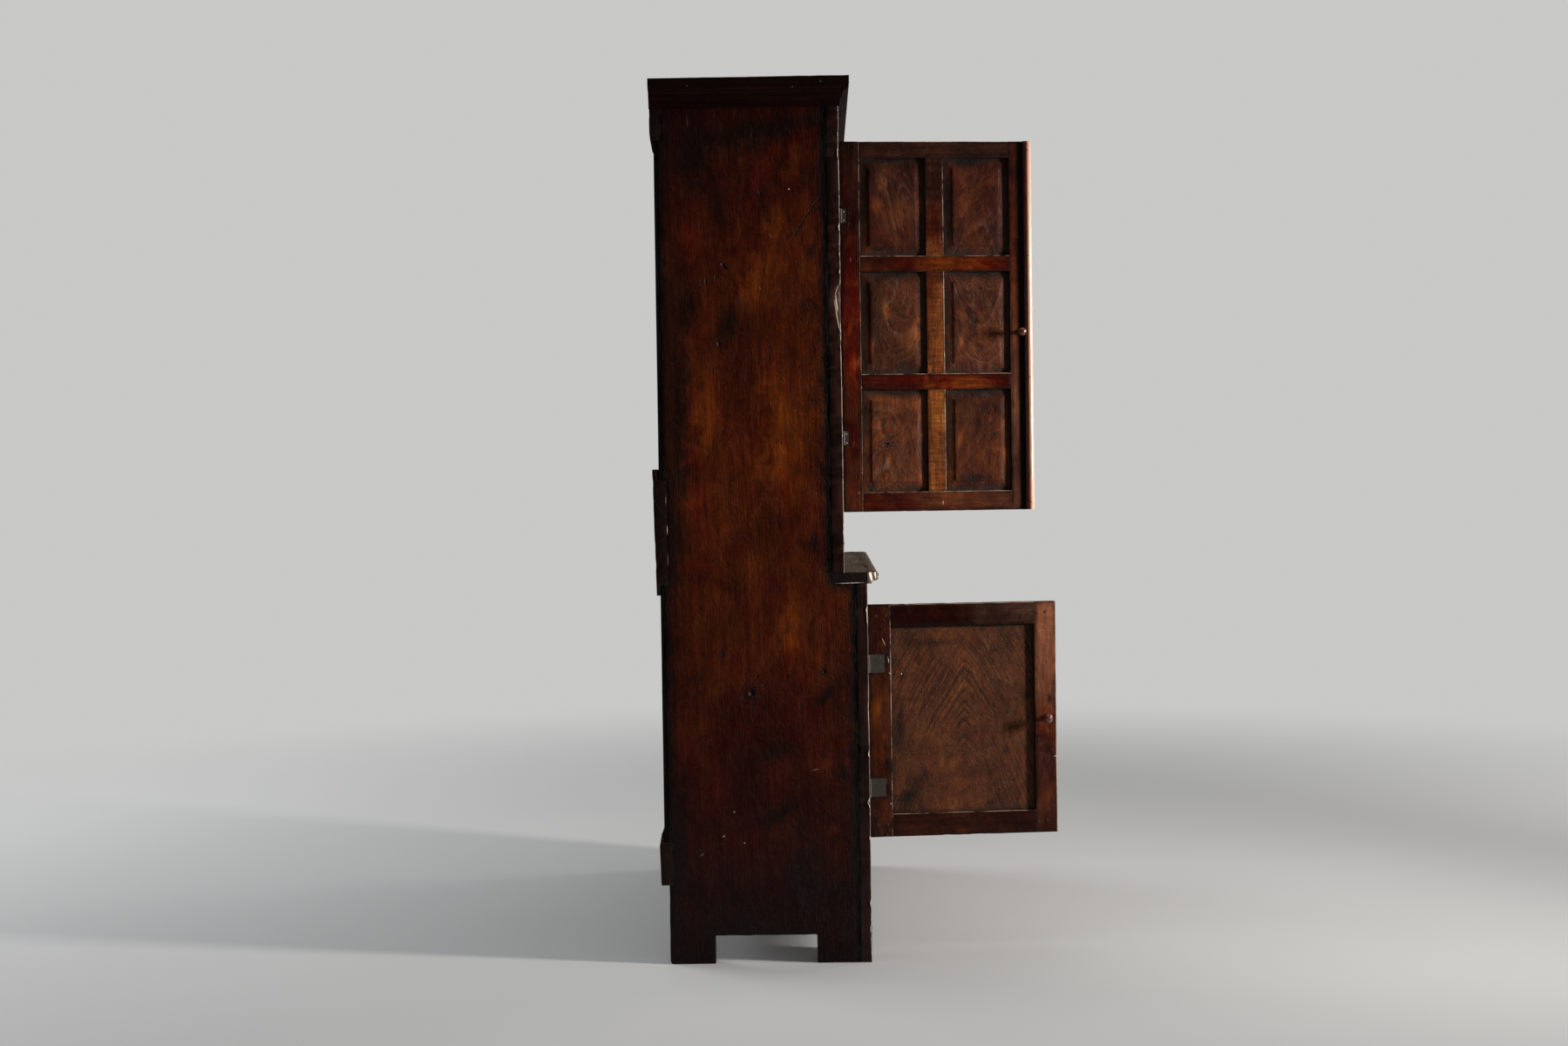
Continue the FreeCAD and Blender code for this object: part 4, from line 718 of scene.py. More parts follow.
# The front faces of the doors are those in front of the middle of their thickness
upper_front, lower_front = ((1, joints[f"{stage}_left_door_hinge"]["pos_m"][1] + 0.014)
                            for stage in ("upper", "lower"))
# Where the stiles stop against the side boards: depth, lowest and highest
stile_backs = [(high.y, low.z, high.z) for low, high in map(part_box, ("upper_left_stile", "lower_left_stile"))]
side_seams = [(y, core, soft, *ends)
              for (y, *ends), core, soft in zip(stile_backs, (0.004, 0.005), (0.016, 0.011))]
stile_seams = [(y, 0.0015, 0.004, *ends) for y, *ends in stile_backs]
outer_faces = (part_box("left_side_board")[0].x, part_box("right_side_board")[1].x)
back_seams = [(x, 0.006, 0.012, 0.0, cad_high[2]) for x in outer_faces]

SIDE_OAK = wood("side_oak", CASE, SIDE_MARKS, 1, side_face, side_seams)
CASE_OAK = wood("case_oak", CASE)
EDGE_OAK = wood("edge_oak", EDGE, SPLINTER_MARKS, 1, side_face, stile_seams)
RAIL_OAK = wood("rail_oak", CASE, RAIL_MARKS, 1, side_face)
BACK_OAK = wood("back_oak", BACK, (), 0, None, back_seams)
TRIM_OAK = wood("trim_oak", TRIM)
FACE_OAK = wood("face_oak", FACE)
FRAME_OAK = wood("frame_oak", FRAME)
UPPER_FRAME_OAK = wood("upper_frame_oak", FRAME, UPPER_FRAME_MARKS, 0, upper_front)
LOWER_FRAME_OAK = wood("lower_frame_oak", FRAME, LOWER_FRAME_MARKS, 0, lower_front)
HONEY_OAK = wood("honey_oak", HONEY)
PANEL_OAK = wood("panel_oak", PANEL)
UPPER_PANEL_OAK = wood("upper_panel_oak", PANEL, UPPER_PANEL_MARKS, 0, upper_front)
COARSE_OAK = wood("coarse_oak", COARSE)
LOWER_PANEL_OAK = wood("lower_panel_oak", COARSE, LOWER_PANEL_MARKS, 0, lower_front)
STRIP_OAK = wood("strip_oak", STRIP, STRIP_MARKS, 0, upper_front)
WAIST_OAK = wood("waist_oak", WAIST, WAIST_MARKS, 1, waist_face)
NOSE_OAK = wood("nose_oak", WAIST, NOSE_MARKS, 1, nose_face)
INNER_OAK = wood("inner_oak", INNER)
KNOB_WOOD = wood("knob_wood", KNOB)
PEG_OAK = wood("peg_oak", PEG)
IRON = iron("forged_iron", (0.028, 0.024, 0.021), (0.050, 0.026, 0.015), 0.5, 0.4)
BRIGHT_IRON = iron("worn_iron", (0.30, 0.25, 0.17), (0.16, 0.10, 0.06), 0.30, 0.55)
PLATE_IRON = iron("plate_iron", (0.026, 0.020, 0.015), (0.046, 0.026, 0.015), 0.50, 0.15)


# Boards

SHARP = 0.5  # radians between the faces of an edge that is worn
WELD = 2e-6  # metres within which the corners of a solid are one


def door_turn(body):
    """The matrix that closes a left-hand door that stands open, and its inverse."""
    joint = next((j for j in joints.values() if j["child"] == body), None)
    if joint and joint["name"].endswith("catch_turn"):
        joint = next(j for j in joints.values() if j["child"] == joint["parent"])
    if not joint or joint["type"] != "hinge" or joint["range_deg"][0] >= 0:
        return Matrix.Identity(4), Matrix.Identity(4)
    pivot = Matrix.Translation(joint["pos_m"])
    turn = Matrix.Rotation(math.radians(joint["range_deg"][0]), 4, Vector(joint["axis"]))
    closing = pivot @ turn @ pivot.inverted()
    return closing, closing.inverted()


def islands(bm):
    """The separate solids of a mesh, each as a set of faces."""
    left = set(bm.faces)
    while left:
        stack = [left.pop()]
        found = set(stack)
        while stack:
            for edge in stack.pop().edges:
                for face in edge.link_faces:
                    if face in left:
                        left.discard(face)
                        found.add(face)
                        stack.append(face)
        yield found


def box_of(points):
    """The lowest and the highest corner of the box round some points."""
    points = list(points)
    return [Vector([pick(p[k] for p in points) for k in range(3)]) for pick in (min, max)]


def box_of_faces(faces):
    return box_of(v.co for f in faces for v in f.verts)


def middle_of(faces):
    """The middle of a solid to the millimetre, height first, which puts the solids of a node in order."""
    low, high = box_of_faces(faces)
    return tuple(round((low[k] + high[k]) / 2, 3) for k in (2, 0, 1))


def sharp(bm):
    return [e for e in bm.edges if len(e.link_faces) == 2 and e.calc_face_angle(0.0) > SHARP]


def slice_along(bm, axis, places):
    normal = Vector((0, 0, 0))
    normal[axis] = 1.0
    for place in places:
        at = normal * place
        geom = bm.verts[:] + bm.edges[:] + bm.faces[:]
        bmesh.ops.bisect_plane(bm, geom=geom, dist=1e-5, plane_co=at, plane_no=normal)


def spaced(low, high, step):
    count = max(1, round((high - low) / step))
    return [low + (high - low) * i / count for i in range(1, count)]


class Board:
    """How one board was cut from its tree and how it has worn."""

    heart = None  # where the heart of the tree lies, across and behind the board
    lean = None  # how the heart leaves the length of the board
    tone = 1.0
    warm = 0.4
    bloom = 0.0
    dull = 0.0  # share of its polish that has gone
    vary = 0.0  # how much boards of one node differ in tone
    grid = True  # cells across the board too, not only along it
    boxed = False  # the outline is that of the box
    story = ()  # how it changes along the board: share, tone, warmth, dust
    lift = 0.0  # how far the outer face of a board leans out at its top
    wider = 0.0  # by how much the far edge lies further out
    clear = 0.0  # and by how much its inner corner stands off
    broken = ()  # splinters lost from the front corner: low, high, width
    rub = ""  # front arris painted pale, worn and with painted highlight: left, right, top or any
    keen = 1.0  # how much narrower than usual the pale line is

    def __init__(self, cell=0.0, arris=0.0012, wave=0.0003, chips=0.0, **more):
        self.cell, self.arris, self.wave, self.chips = cell, arris, wave, chips
        vars(self).update(more)


def told(story, share):
    """The tone, warmth and dust of a board's story at a share of its length."""
    last = story[0]
    for step in story:
        if share <= step[0]:
            run = step[0] - last[0]
            k = (share - last[0]) / run if run else 0.0
            k = k * k * (3.0 - 2.0 * k)
            return [a + (b - a) * k for a, b in zip(last[1:], step[1:])]
        last = step
    return list(last[1:])


EDGE_STEP = 0.004  # metres between the points that stand for an edge
NO_EDGE = 0.02  # distance to the outline of a board that has no sharp edge
NOT_LIT_WORN = 0.05  # distance to the pale arris of a board that has none
CHIP_REACH = 0.006
SPLINTER_DEPTH = 0.0030  # where the wood of a splinter shows fully


def edge_tree(edges, keep):
    """The places along some edges, for finding the nearest. None where there are no places."""
    points = []
    for e in edges:
        count = max(2, int(e.calc_length() / EDGE_STEP))
        for i in range(count):
            p = e.verts[0].co.lerp(e.verts[1].co, i / (count - 1))
            if keep(p):
                points.append(p)
    if not points:
        return None
    tree = KDTree(len(points))
    for n, p in enumerate(points):
        tree.insert(p, n)
    tree.balance()
    return tree


def lit_worn_edges(rub, low, high):
    near = 0.0005
    sides = {
        "left": lambda p: p.x < low.x + near,
        "right": lambda p: p.x > high.x - near,
        "top": lambda p: p.z > high.z - near,
        "any": lambda p: True,
    }
    return lambda p: p.y < low.y + near and sides[rub](p)


def splinter(co, low, broken):
    """How a point near the front left corner moves back where a splinter is gone."""
    for z0, z1, width in broken:
        k = (z1 - co.z) / (z1 - z0)
        if 0.0 < k < 1.0:
            wide = width * min(k / 0.34, (1.0 - k) / 0.66)
            wide *= 0.9 + 0.3 * noise.noise(Vector((co.z * 90.0, 0.0, z0)))
            gap = wide - (co.x - low.x) - (co.y - low.y)
            if gap > 0:
                return Vector((1.0, 1.0, 0.0)) * (gap / 2)
    return None


def wood_layers(bm):
    """The layers that carry a board's own coordinates and its wear: pith, rims, tone, place, dust."""
    vectors = [bm.verts.layers.float_vector.new(name) for name in ("pith", "rims", "tone", "place")]
    return *vectors, bm.verts.layers.float.new("dust")


class Aged:
    """One solid, in closed position, that is made into a worn board."""

    def __init__(self, bm, how, rng):
        self.bm, self.how = bm, how
        self.low, self.high = box_of(v.co for v in bm.verts)
        self.size = self.high - self.low
        self.centre = (self.low + self.high) / 2
        self.thick, self.across, self.along = sorted(range(3), key=lambda k: self.size[k])
        self.cut_cells()
        self.bevel_edges()
        self.seed = Vector((rng.random(), rng.random(), rng.random())) * 40.0
        size = self.size
        self.heart = how.heart or ((rng.random() - 0.5) * size[self.across], 0.05 + 0.10 * rng.random())
        self.lean = how.lean or ((rng.random() - 0.5) * 0.05, (rng.random() - 0.5) * 0.08)
        self.own = 1.0 + how.vary * (rng.random() - 0.5) * 2.0
        self.shift = rng.random() * 30.0
        self.pith, self.rims, self.tone, self.place, self.dust = wood_layers(bm)
        bm.normal_update()
        moves = [(v, self.age(v)) for v in bm.verts]
        for v, move in moves:
            v.co += move

    def cut_cells(self):
        how, low, high = self.how, self.low, self.high
        if how.cell:
            for axis in (self.along, self.across) if how.grid else (self.along,):
                slice_along(self.bm, axis, spaced(low[axis], high[axis], how.cell))

    def bevel_edges(self):
        """Breaks the sharp edges, after noting where they were."""
        how, thick = self.how, self.thick
        edges = sharp(self.bm)
        self.middle = (self.low[thick] + self.high[thick]) / 2
        self.outer = edge_tree(edges, lambda p: p[thick] < self.middle)
        self.inner = edge_tree(edges, lambda p: p[thick] >= self.middle)
        self.front = edge_tree(edges, lit_worn_edges(how.rub, self.low, self.high)) if how.rub else None
        if how.arris and edges:
            bmesh.ops.bevel(self.bm, geom=edges, offset=how.arris, segments=2, profile=0.6, affect="EDGES",
                            clamp_overlap=True)

    def age(self, v):
        """Fills in a corner's layers and gives how far it moves."""
        tree = (self.outer if v.co[self.thick] < self.middle else self.inner) or self.outer or self.inner
        near = tree.find(v.co)[2] if tree else NO_EDGE
        self.note(v, near)
        return self.moved(v, near)

    def note(self, v, near):
        how, low, high = self.how, self.low, self.high
        thick, across, along = self.thick, self.across, self.along
        d = v.co - self.centre
        v[self.pith] = (
            d[across] - self.heart[0] - self.lean[0] * d[along],
            d[thick] - self.heart[1] - self.lean[1] * d[along],
            d[along] + self.shift,
        )
        v[self.place] = v.co
        reach = min(min(v.co[k] - low[k], high[k] - v.co[k]) for k in (across, along))
        lit_worn = self.front.find(v.co)[2] * how.keen if self.front else NOT_LIT_WORN
        v[self.rims] = (reach if how.boxed else near, lit_worn, 0.0)
        level, warm, dull = how.tone, how.warm, how.dull
        if how.story:
            level, warm, dull = told(how.story, (v.co[along] - low[along]) / self.size[along])
            level *= how.tone
        v[self.dust] = dull
        v[self.tone] = (level * self.own, warm + (self.own - 1.0) * 0.5, how.bloom)

    def moved(self, v, near):
        how, low, high, size = self.how, self.low, self.high, self.size
        thick, across = self.thick, self.across
        move = v.normal * self.unevenness(v.co + self.seed, near)
        lost = splinter(v.co, low, how.broken)
        if lost:
            move += lost
            v[self.rims][2] = min(1.0, lost.length / SPLINTER_DEPTH)
        if how.wider and v.co[across] > self.centre[across]:
            move[across] += how.wider
            if v.co[thick] > high[thick] - 0.0002:
                move[thick] -= how.clear
        if how.lift:
            move.y += how.lift * (v.co.y - low.y) / size.y * (v.co.z - low.z) / size.z
        return move

    def unevenness(self, p, near):
        push = (noise.noise(p * 9.0) * 0.7 + noise.noise(p * 31.0) * 0.3) * self.how.wave
        if self.how.chips and near < CHIP_REACH:
            bite = noise.noise(p * 38.0) * 0.6 + noise.noise(p * 95.0) * 0.4
            push -= max(0.0, bite - 0.12) * self.how.chips * (1.0 - near / CHIP_REACH)
        return push


def shut_solids(node):
    """The mesh of a node as it is while its door is shut, with one corner where solids have several."""
    bm = bmesh.new()
    bm.from_mesh(frame["nodes"][node].data)
    bmesh.ops.transform(bm, matrix=door_turn(body_of[node])[0], verts=bm.verts)
    bmesh.ops.remove_doubles(bm, verts=bm.verts, dist=WELD)
    return bm


def copy_faces(faces):
    out = bmesh.new()
    verts = {}
    for f in faces:
        for v in f.verts:
            if v not in verts:
                verts[v] = out.verts.new(v.co)
    for f in faces:
        out.faces.new([verts[v] for v in f.verts])
    return out


def finish_piece(bm, name, body, slot, material, angle, node=None):
    """Turns a mesh in shut position into a piece that rides its body, and that replaces the node if given."""
    bmesh.ops.transform(bm, matrix=door_turn(body)[1], verts=bm.verts)
    mesh = bpy.data.meshes.new(name)
    bm.to_mesh(mesh)
    bm.free()
    for f in mesh.polygons:
        f.use_smooth = True
    mesh.materials.append(material)
    mesh.set_sharp_from_angle(angle=math.radians(angle))
    piece = bpy.data.objects.new(name, mesh)
    bpy.context.scene.collection.objects.link(piece)
    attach(piece, body)
    if node:
        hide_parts(node)


def dress(node, hows, material, suffix="wood"):
    """Replaces a node by a worn one. hows gives the board of each solid in turn, or one for all."""
    rng = random.Random(sum(ord(c) * (i + 1) for i, c in enumerate(node)))
    whole = shut_solids(node)
    bmesh.ops.dissolve_limit(whole, angle_limit=math.radians(1.0), verts=whole.verts, edges=whole.edges)
    joined = bmesh.new()
    for i, faces in enumerate(sorted(islands(whole), key=middle_of)):
        how = hows[i % len(hows)] if isinstance(hows, list) else hows
        made = copy_faces(faces)
        Aged(made, how, rng)
        part = bpy.data.meshes.new("part")
        made.to_mesh(part)
        made.free()
        joined.from_mesh(part)
        bpy.data.meshes.remove(part)
    whole.free()
    finish_piece(joined, f"{node}_{suffix}", body_of[node], slots[node], material, 32.0, node)


BACK_BOARDS = 5
BACK_GAP = 0.0011  # what light would shine through
# Splinters lost from the front corners of the left stiles: lowest and highest pixel, width
UPPER_SPLITS = ((382, 322, 0.0115), (440, 372, 0.0030), (214, 140, 0.0030), (300, 276, 0.0024))
LOWER_SPLITS = ((840, 800, 0.0030), (1105, 1060, 0.0035))
# How boards change along their length, from the bottom up or from the hinges on: share, tone, warmth, dust
# The side boards are darker towards the bottom and the top: painted shade where the light falls off
SIDE_LIGHT_FALLOFF = ((0.0, 0.12, 0.05, 0.0), (0.07, 0.20, 0.05, 0.0), (0.14, 0.42, 0.10, 0.0), (0.28, 0.70, 0.25, 0.0),
        (0.40, 0.88, 0.45, 0.0), (0.52, 0.98, 0.50, 0.0), (0.66, 1.00, 0.50, 0.0), (0.80, 0.92, 0.40, 0.0),
        (0.92, 0.62, 0.20, 0.0), (1.0, 0.42, 0.10, 0.0))
UPPER_STILE = ((0.0, 0.66, 0.62, 0.2), (0.10, 0.72, 0.50, 0.1), (0.24, 0.64, 0.25, 0.0),
               (0.40, 1.0, 0.10, 0.0), (0.58, 0.85, 0.0, 0.0), (0.68, 0.50, 0.0, 0.0),
               (0.80, 0.27, 0.05, 0.1), (1.0, 0.25, 0.1, 0.3))
LOWER_STILE = ((0.0, 0.38, 0.4, 0.2), (0.10, 0.56, 0.6, 0.1), (0.2, 0.28, 0.3, 0.1),
               (0.35, 0.38, 0.5, 0.1), (0.60, 0.56, 0.65, 0.1), (0.76, 0.34, 0.2, 0.1),
               (1.0, 0.30, 0.05, 0.1))
MEETING = ((0.0, 0.65, 0.5, 0.6), (0.3, 0.80, 0.6, 0.6), (0.55, 0.75, 0.5, 0.3), (0.75, 0.60, 0.1, 0.1),
           (1.0, 0.42, 0.1, 0.2))
LOWER_MEETING = ((0.0, 0.34, 0.2, 0.2), (0.15, 0.52, 0.3, 0.2), (0.40, 0.46, 0.1, 0.1),
                 (0.50, 0.80, 0.4, 0.2), (0.62, 1.1, 0.8, 0.5), (1.0, 1.3, 0.95, 0.6))
CROSS = ((0.0, 0.40, 0.3, 0.2), (0.12, 0.40, 0.1, 0.1), (0.34, 0.66, 0.05, 0.0), (0.50, 1.20, 0.62, 0.0),
         (0.68, 1.0, 0.36, 0.0), (0.88, 0.72, 0.0, 0.0), (1.0, 0.40, 0.0, 0.0))
BOTTOM_RAIL = ((0.0, 0.36, 0.05, 0.0), (0.3, 0.52, 0.25, 0.1), (0.45, 0.66, 0.5, 0.3),
               (1.0, 0.46, 0.35, 0.5))
TOP_RAIL = ((0.0, 0.28, 0.2, 0.5), (0.3, 0.34, 0.3, 0.5), (0.6, 0.32, 0.2, 0.6), (1.0, 0.28, 0.2, 0.6))
LOWER_BOTTOM = ((0.0, 0.20, 0.4, 0.2), (0.3, 0.32, 0.4, 0.2), (0.6, 0.24, 0.3, 0.2), (1.0, 0.14, 0.2, 0.1))
LOWER_TOP = ((0.0, 0.17, 0.0, 0.0), (0.4, 0.22, 0.0, 0.0), (0.52, 0.24, 0.1, 0.1), (0.60, 0.42, 0.4, 0.8),
             (1.0, 0.50, 0.5, 0.9))
LOW_MUNTIN = ((0.0, 0.40, 0.4, 0.0), (0.08, 0.76, 0.6, 0.0), (0.5, 0.84, 0.65, 0.0),
              (0.75, 1.04, 0.8, 0.0), (1.0, 0.90, 0.7, 0.0))
MIDDLE_MUNTIN = ((0.0, 0.78, 0.55, 0.0), (0.5, 0.85, 0.65, 0.0), (0.8, 0.78, 0.5, 0.0),
                 (0.9, 0.40, 0.1, 0.0), (1.0, 0.28, 0.0, 0.0))
TOP_MUNTIN = ((0.0, 0.96, 0.65, 0.0), (0.14, 0.80, 0.3, 0.0), (0.3, 0.48, 0.0, 0.0),
              (0.48, 0.38, 0.0, 0.0), (0.62, 0.20, 0.1, 0.2), (1.0, 0.20, 0.2, 0.4))


def dress_alike(nodes, how, material):
    for node in nodes:
        dress(node, how, material)


def sides():
    left = Board(0.012, 0.0016, 0.0011, 0.006, heart=(-0.06, 0.09), lean=(0.03, 0.02), story=SIDE_LIGHT_FALLOFF)
    right = Board(0.014, 0.0016, 0.001, 0.005, heart=(0.05, -0.08), lean=(0.02, -0.02), story=SIDE_LIGHT_FALLOFF)
    dress("left_side_board", left, SIDE_OAK)
    dress("right_side_board", right, CASE_OAK)


def face_frame():
    for node, cell, tone, splits in (("upper_left_stile", 0.005, 0.9, UPPER_SPLITS),
                                     ("lower_left_stile", 0.006, 0.8, LOWER_SPLITS)):
        broken = [(height_of(low), height_of(high), width) for low, high, width in splits]
        how = Board(cell, 0.0016, 0.0006, 0.010, tone=tone, warm=0.15, broken=broken, rub="left")
        dress(node, how, EDGE_OAK)
    rough = Board(0.010, 0.0014, 0.0006, 0.005, tone=0.95, warm=0.3, vary=0.12)
    dress_alike(("upper_right_stile", "lower_right_stile", "upper_top_rail", "upper_bottom_rail",
                 "lower_top_rail", "lower_bottom_rail"), rough, FACE_OAK)


def waist():
    dress("waist_board", Board(0.010, 0.0016, 0.0008, 0.006, tone=0.9), WAIST_OAK)
    nose = Board(0.012, 0.0006, 0.0004, 0.004, grid=False, warm=0.6, rub="any")
    dress("waist_moulding", nose, NOSE_OAK)


def back():
    for node, lift in (("back_top_rail", 0.002), ("back_middle_rail", 0.006), ("back_bottom_rail", 0.003)):
        dress(node, Board(0.014, 0.002, 0.001, 0.008, tone=0.6, warm=0.3, dull=0.25, lift=lift), RAIL_OAK)
    how = Board(0.03, 0.0006, 0.0003, vary=0.18, wider=BACK_GAP)
    last = Board(0.03, 0.0006, 0.0003, vary=0.18)
    dress_alike(("upper_back_boards", "lower_back_boards"), [how] * (BACK_BOARDS - 1) + [last], BACK_OAK)


def level_boards():
    shelf = Board(0.03, 0.0014, 0.0008, warm=0.5)
    dress_alike(("bottom_board", "upper_shelf_low", "upper_shelf_high", "lower_shelf"), shelf, INNER_OAK)
    dress("top_board", Board(0.025, 0.0014, 0.001, warm=0.3, tone=0.7, bloom=0.8), INNER_OAK)


def cornice_and_pegs():
    trim = Board(0.012, 0.0006, 0.0006, 0.004, grid=False, tone=0.24, warm=0.2, dull=0.04)
    dress_alike(("cornice_front", "cornice_left_return", "cornice_right_return"), trim, TRIM_OAK)
    dress("frame_pegs", Board(0.0, 0.0004, 0.0003, vary=0.3), PEG_OAK)


# Slats are painted pale along their right-hand front arris, the side that faces the light
def slat(rub="right", **more):
    return Board(0.009, 0.0010, 0.0004, 0.003, rub=rub, **more)


def mirrored_story(story):
    return tuple((1.0 - step[0], *step[1:]) for step in reversed(story))


def doors():
    # The panels of an upper door from the lowest row up: heart across and behind, lean across and behind
    cuts = [((-0.02, 0.075), (0.02, 0.16)), ((0.03, 0.07), (0.05, -0.12)), ((0.020, 0.06), (0.16, -0.20)),
            ((0.010, 0.06), (-0.08, -0.24)), ((0.04, 0.05), (-0.30, 0.12)), ((0.02, 0.07), (0.25, 0.20))]
    tones = [(0.86, 0.50), (0.70, 0.32), (0.60, 0.34), (0.80, 0.30), (0.68, 0.12), (0.64, 0.08)]
    panels = [
        Board(0.009, 0.0006, 0.0005, heart=heart, lean=lean, tone=level, warm=warm, bloom=0.8, boxed=True)
        for (heart, lean), (level, warm) in zip(cuts, tones)
    ]
    for side in ("left", "right"):
        seen = side == "left"
        turn = (lambda s: s) if seen else mirrored_story
        name = f"upper_{side}_door"
        frame_oak = UPPER_FRAME_OAK if seen else FRAME_OAK
        dress(f"{name}_hinge_stile", slat(story=UPPER_STILE, keen=2.0), frame_oak)
        dress(f"{name}_meeting_stile", slat(story=MEETING), frame_oak)
        stories = (BOTTOM_RAIL, CROSS, CROSS, TOP_RAIL)
        dress(f"{name}_rails", [slat("top", story=turn(s)) for s in stories], frame_oak)
        dress(f"{name}_muntins", [slat(story=s) for s in (LOW_MUNTIN, MIDDLE_MUNTIN, TOP_MUNTIN)], HONEY_OAK)
        dress(f"{name}_panels", panels, UPPER_PANEL_OAK if seen else PANEL_OAK)
        name = f"lower_{side}_door"
        frame_oak = LOWER_FRAME_OAK if seen else FRAME_OAK
        dress(f"{name}_hinge_stile", slat(story=LOWER_STILE), frame_oak)
        dress(f"{name}_meeting_stile", slat(story=LOWER_MEETING), frame_oak)
        dress(f"{name}_rails", [slat("top", story=turn(s)) for s in (LOWER_BOTTOM, LOWER_TOP)], frame_oak)
        heart = (0.003, 0.125) if seen else (-0.03, 0.12)
        lean = (0.01, 0.46) if seen else (0.02, -0.40)
        board = Board(0.012, 0.0006, 0.0006, heart=heart, lean=lean, tone=0.88, warm=0.30, bloom=0.3,
                      boxed=True)
        dress(f"{name}_panel", board, LOWER_PANEL_OAK if seen else COARSE_OAK)
    strip = Board(0.010, 0.0, 0.0003, 0.002, grid=False, warm=0.4, wider=0.0004, clear=0.0013)
    dress("upper_left_door_cover_strip", strip, STRIP_OAK)


def shut_box(node):
    """The corners of a node while its door is shut."""
    closing = door_turn(body_of[node])[0]
    return box_of(closing @ v.co for v in frame["nodes"][node].data.vertices)


def solids_of(node):
    """The box of each solid of a node while its door is shut."""
    bm = shut_solids(node)
    found = [box_of_faces(faces) for faces in islands(bm)]
    bm.free()
    return found


# Rings of the head of a nail or peg from its foot up, as shares of its radius and of its rise
DOME = ((1.0, -1.2), (1.0, 0.0), (0.97, 0.16), (0.78, 0.42), (0.42, 0.58))
DOME_TOP = 0.64
DOME_SIDES = 18


def head(bm, at, side, other, outward, radius, rise, rng):
    """One round head, a little uneven, as its corners."""
    wide = radius * (0.9 + 0.2 * rng.random())
    tilt = (rng.random() - 0.5) * 0.3
    loops = []
    for share, height in DOME:
        loop = []
        for i in range(DOME_SIDES):
            a = 2 * math.pi * i / DOME_SIDES
            r = wide * share * (1.0 + 0.05 * noise.noise(Vector((a, at.z * 50, share))))
            up = height * rise * (1.0 + tilt * math.cos(a))
            loop.append(bm.verts.new(at + side * r * math.cos(a) + other * r * math.sin(a) + outward * up))
        loops.append(loop)
    top = bm.verts.new(at + outward * rise * DOME_TOP)
    pairs = [(i, (i + 1) % DOME_SIDES) for i in range(DOME_SIDES)]
    for a, b in zip(loops, loops[1:]):
        for i, j in pairs:
            bm.faces.new((a[i], a[j], b[j], b[i]))
    for i, j in pairs:
        bm.faces.new((loops[-1][i], loops[-1][j], top))
    bm.faces.new(loops[0][::-1])
    return sum(loops, [top])


def heads(name, body, places, radius, rise, material, slot, outward=Vector((0.0, -1.0, 0.0))):
    """Round heads of nails or pegs on a face as one piece."""
    rng = random.Random(len(name) * 7 + len(places))
    bm = bmesh.new()
    pith, rims, tone, place, _ = wood_layers(bm)
    side = outward.orthogonal().normalized()
    other = outward.cross(side)
    for at in places:
        at = Vector(at) + (side * (rng.random() - 0.5) + other * (rng.random() - 0.5)) * radius * 0.3
        corners = head(bm, at, side, other, outward, radius, rise, rng)
        level = 0.8 + 0.5 * rng.random()
        for v in corners:
            d = v.co - at
            v[pith] = (d.dot(side) + 0.003, d.dot(other) - 0.002, at.z * 7.0 + at.x)
            v[rims] = (NO_EDGE, NOT_LIT_WORN, 0.0)
            v[tone] = (level, 0.4, 0.0)
            v[place] = v.co
    bmesh.ops.recalc_face_normals(bm, faces=bm.faces)
    finish_piece(bm, name, body, slot, material, 50.0)


LEAF_WIDTH = 0.011
NAIL_STEP = 0.0098  # from the middle of a leaf to each of its nails
NAIL_SUNK = 0.0003
# Radius and rise of the heads
HINGE_NAIL = (0.0025, 0.0020)
DOOR_PEG = (0.0034, 0.0009)
CORNICE_NAIL = (0.0022, 0.0010)
STRIP_NAIL = (0.0019, 0.0006)


def leaf_nails(leaves, to_right, face):
    """Two nails to a narrow leaf. to_right says that a leaf's free end is its right-hand one."""
    places = []
    for low, high in leaves:
        x = high.x - LEAF_WIDTH / 2 if to_right else low.x + LEAF_WIDTH / 2
        middle = (low.z + high.z) / 2
        places += [(x, face - NAIL_SUNK, middle - NAIL_STEP), (x, face - NAIL_SUNK, middle + NAIL_STEP)]
    return places


def hinge_nails(side, sign):
    """The nails of the narrow leaves, on the door and on the case."""
    face = shut_box(f"upper_{side}_door_hinge_stile")[0].y
    places = leaf_nails(solids_of(f"upper_{side}_door_hinge_leaves"), side == "left", face)
    heads(f"upper_{side}_hinge_nails", f"upper_{side}_door", places, *HINGE_NAIL, BRIGHT_IRON, "iron")
    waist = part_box("waist_board")[1].z
    leaves = [(low, high) for low, high in solids_of("case_hinges")
              if high.x - low.x > LEAF_WIDTH * 0.9 and low.z > waist and (low.x + high.x) * sign > 0]
    places = leaf_nails(leaves, side == "right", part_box(f"upper_{side}_stile")[0].y)
    heads(f"case_{side}_hinge_nails", "case", places, *HINGE_NAIL, BRIGHT_IRON, "iron")


def door_pegs(side):
    """Two pegs to each corner joint of a lower door."""
    near = shut_box(f"lower_{side}_door_hinge_stile")
    far = shut_box(f"lower_{side}_door_meeting_stile")
    places = []
    for rail in sorted(solids_of(f"lower_{side}_door_rails"), key=lambda b: b[0].z):
        z = (rail[0].z + rail[1].z) / 2
        for (low, high), shares in ((near, (0.32, 0.78)), (far, (0.10, 0.50))):
            for share in shares:
                share = 1.0 - share if side == "right" else share
                places.append((low.x + (high.x - low.x) * share, near[0].y, z + 0.002 * share))
    heads(f"lower_{side}_door_pegs", f"lower_{side}_door", places, *DOOR_PEG, PEG_OAK, slots["frame_pegs"])


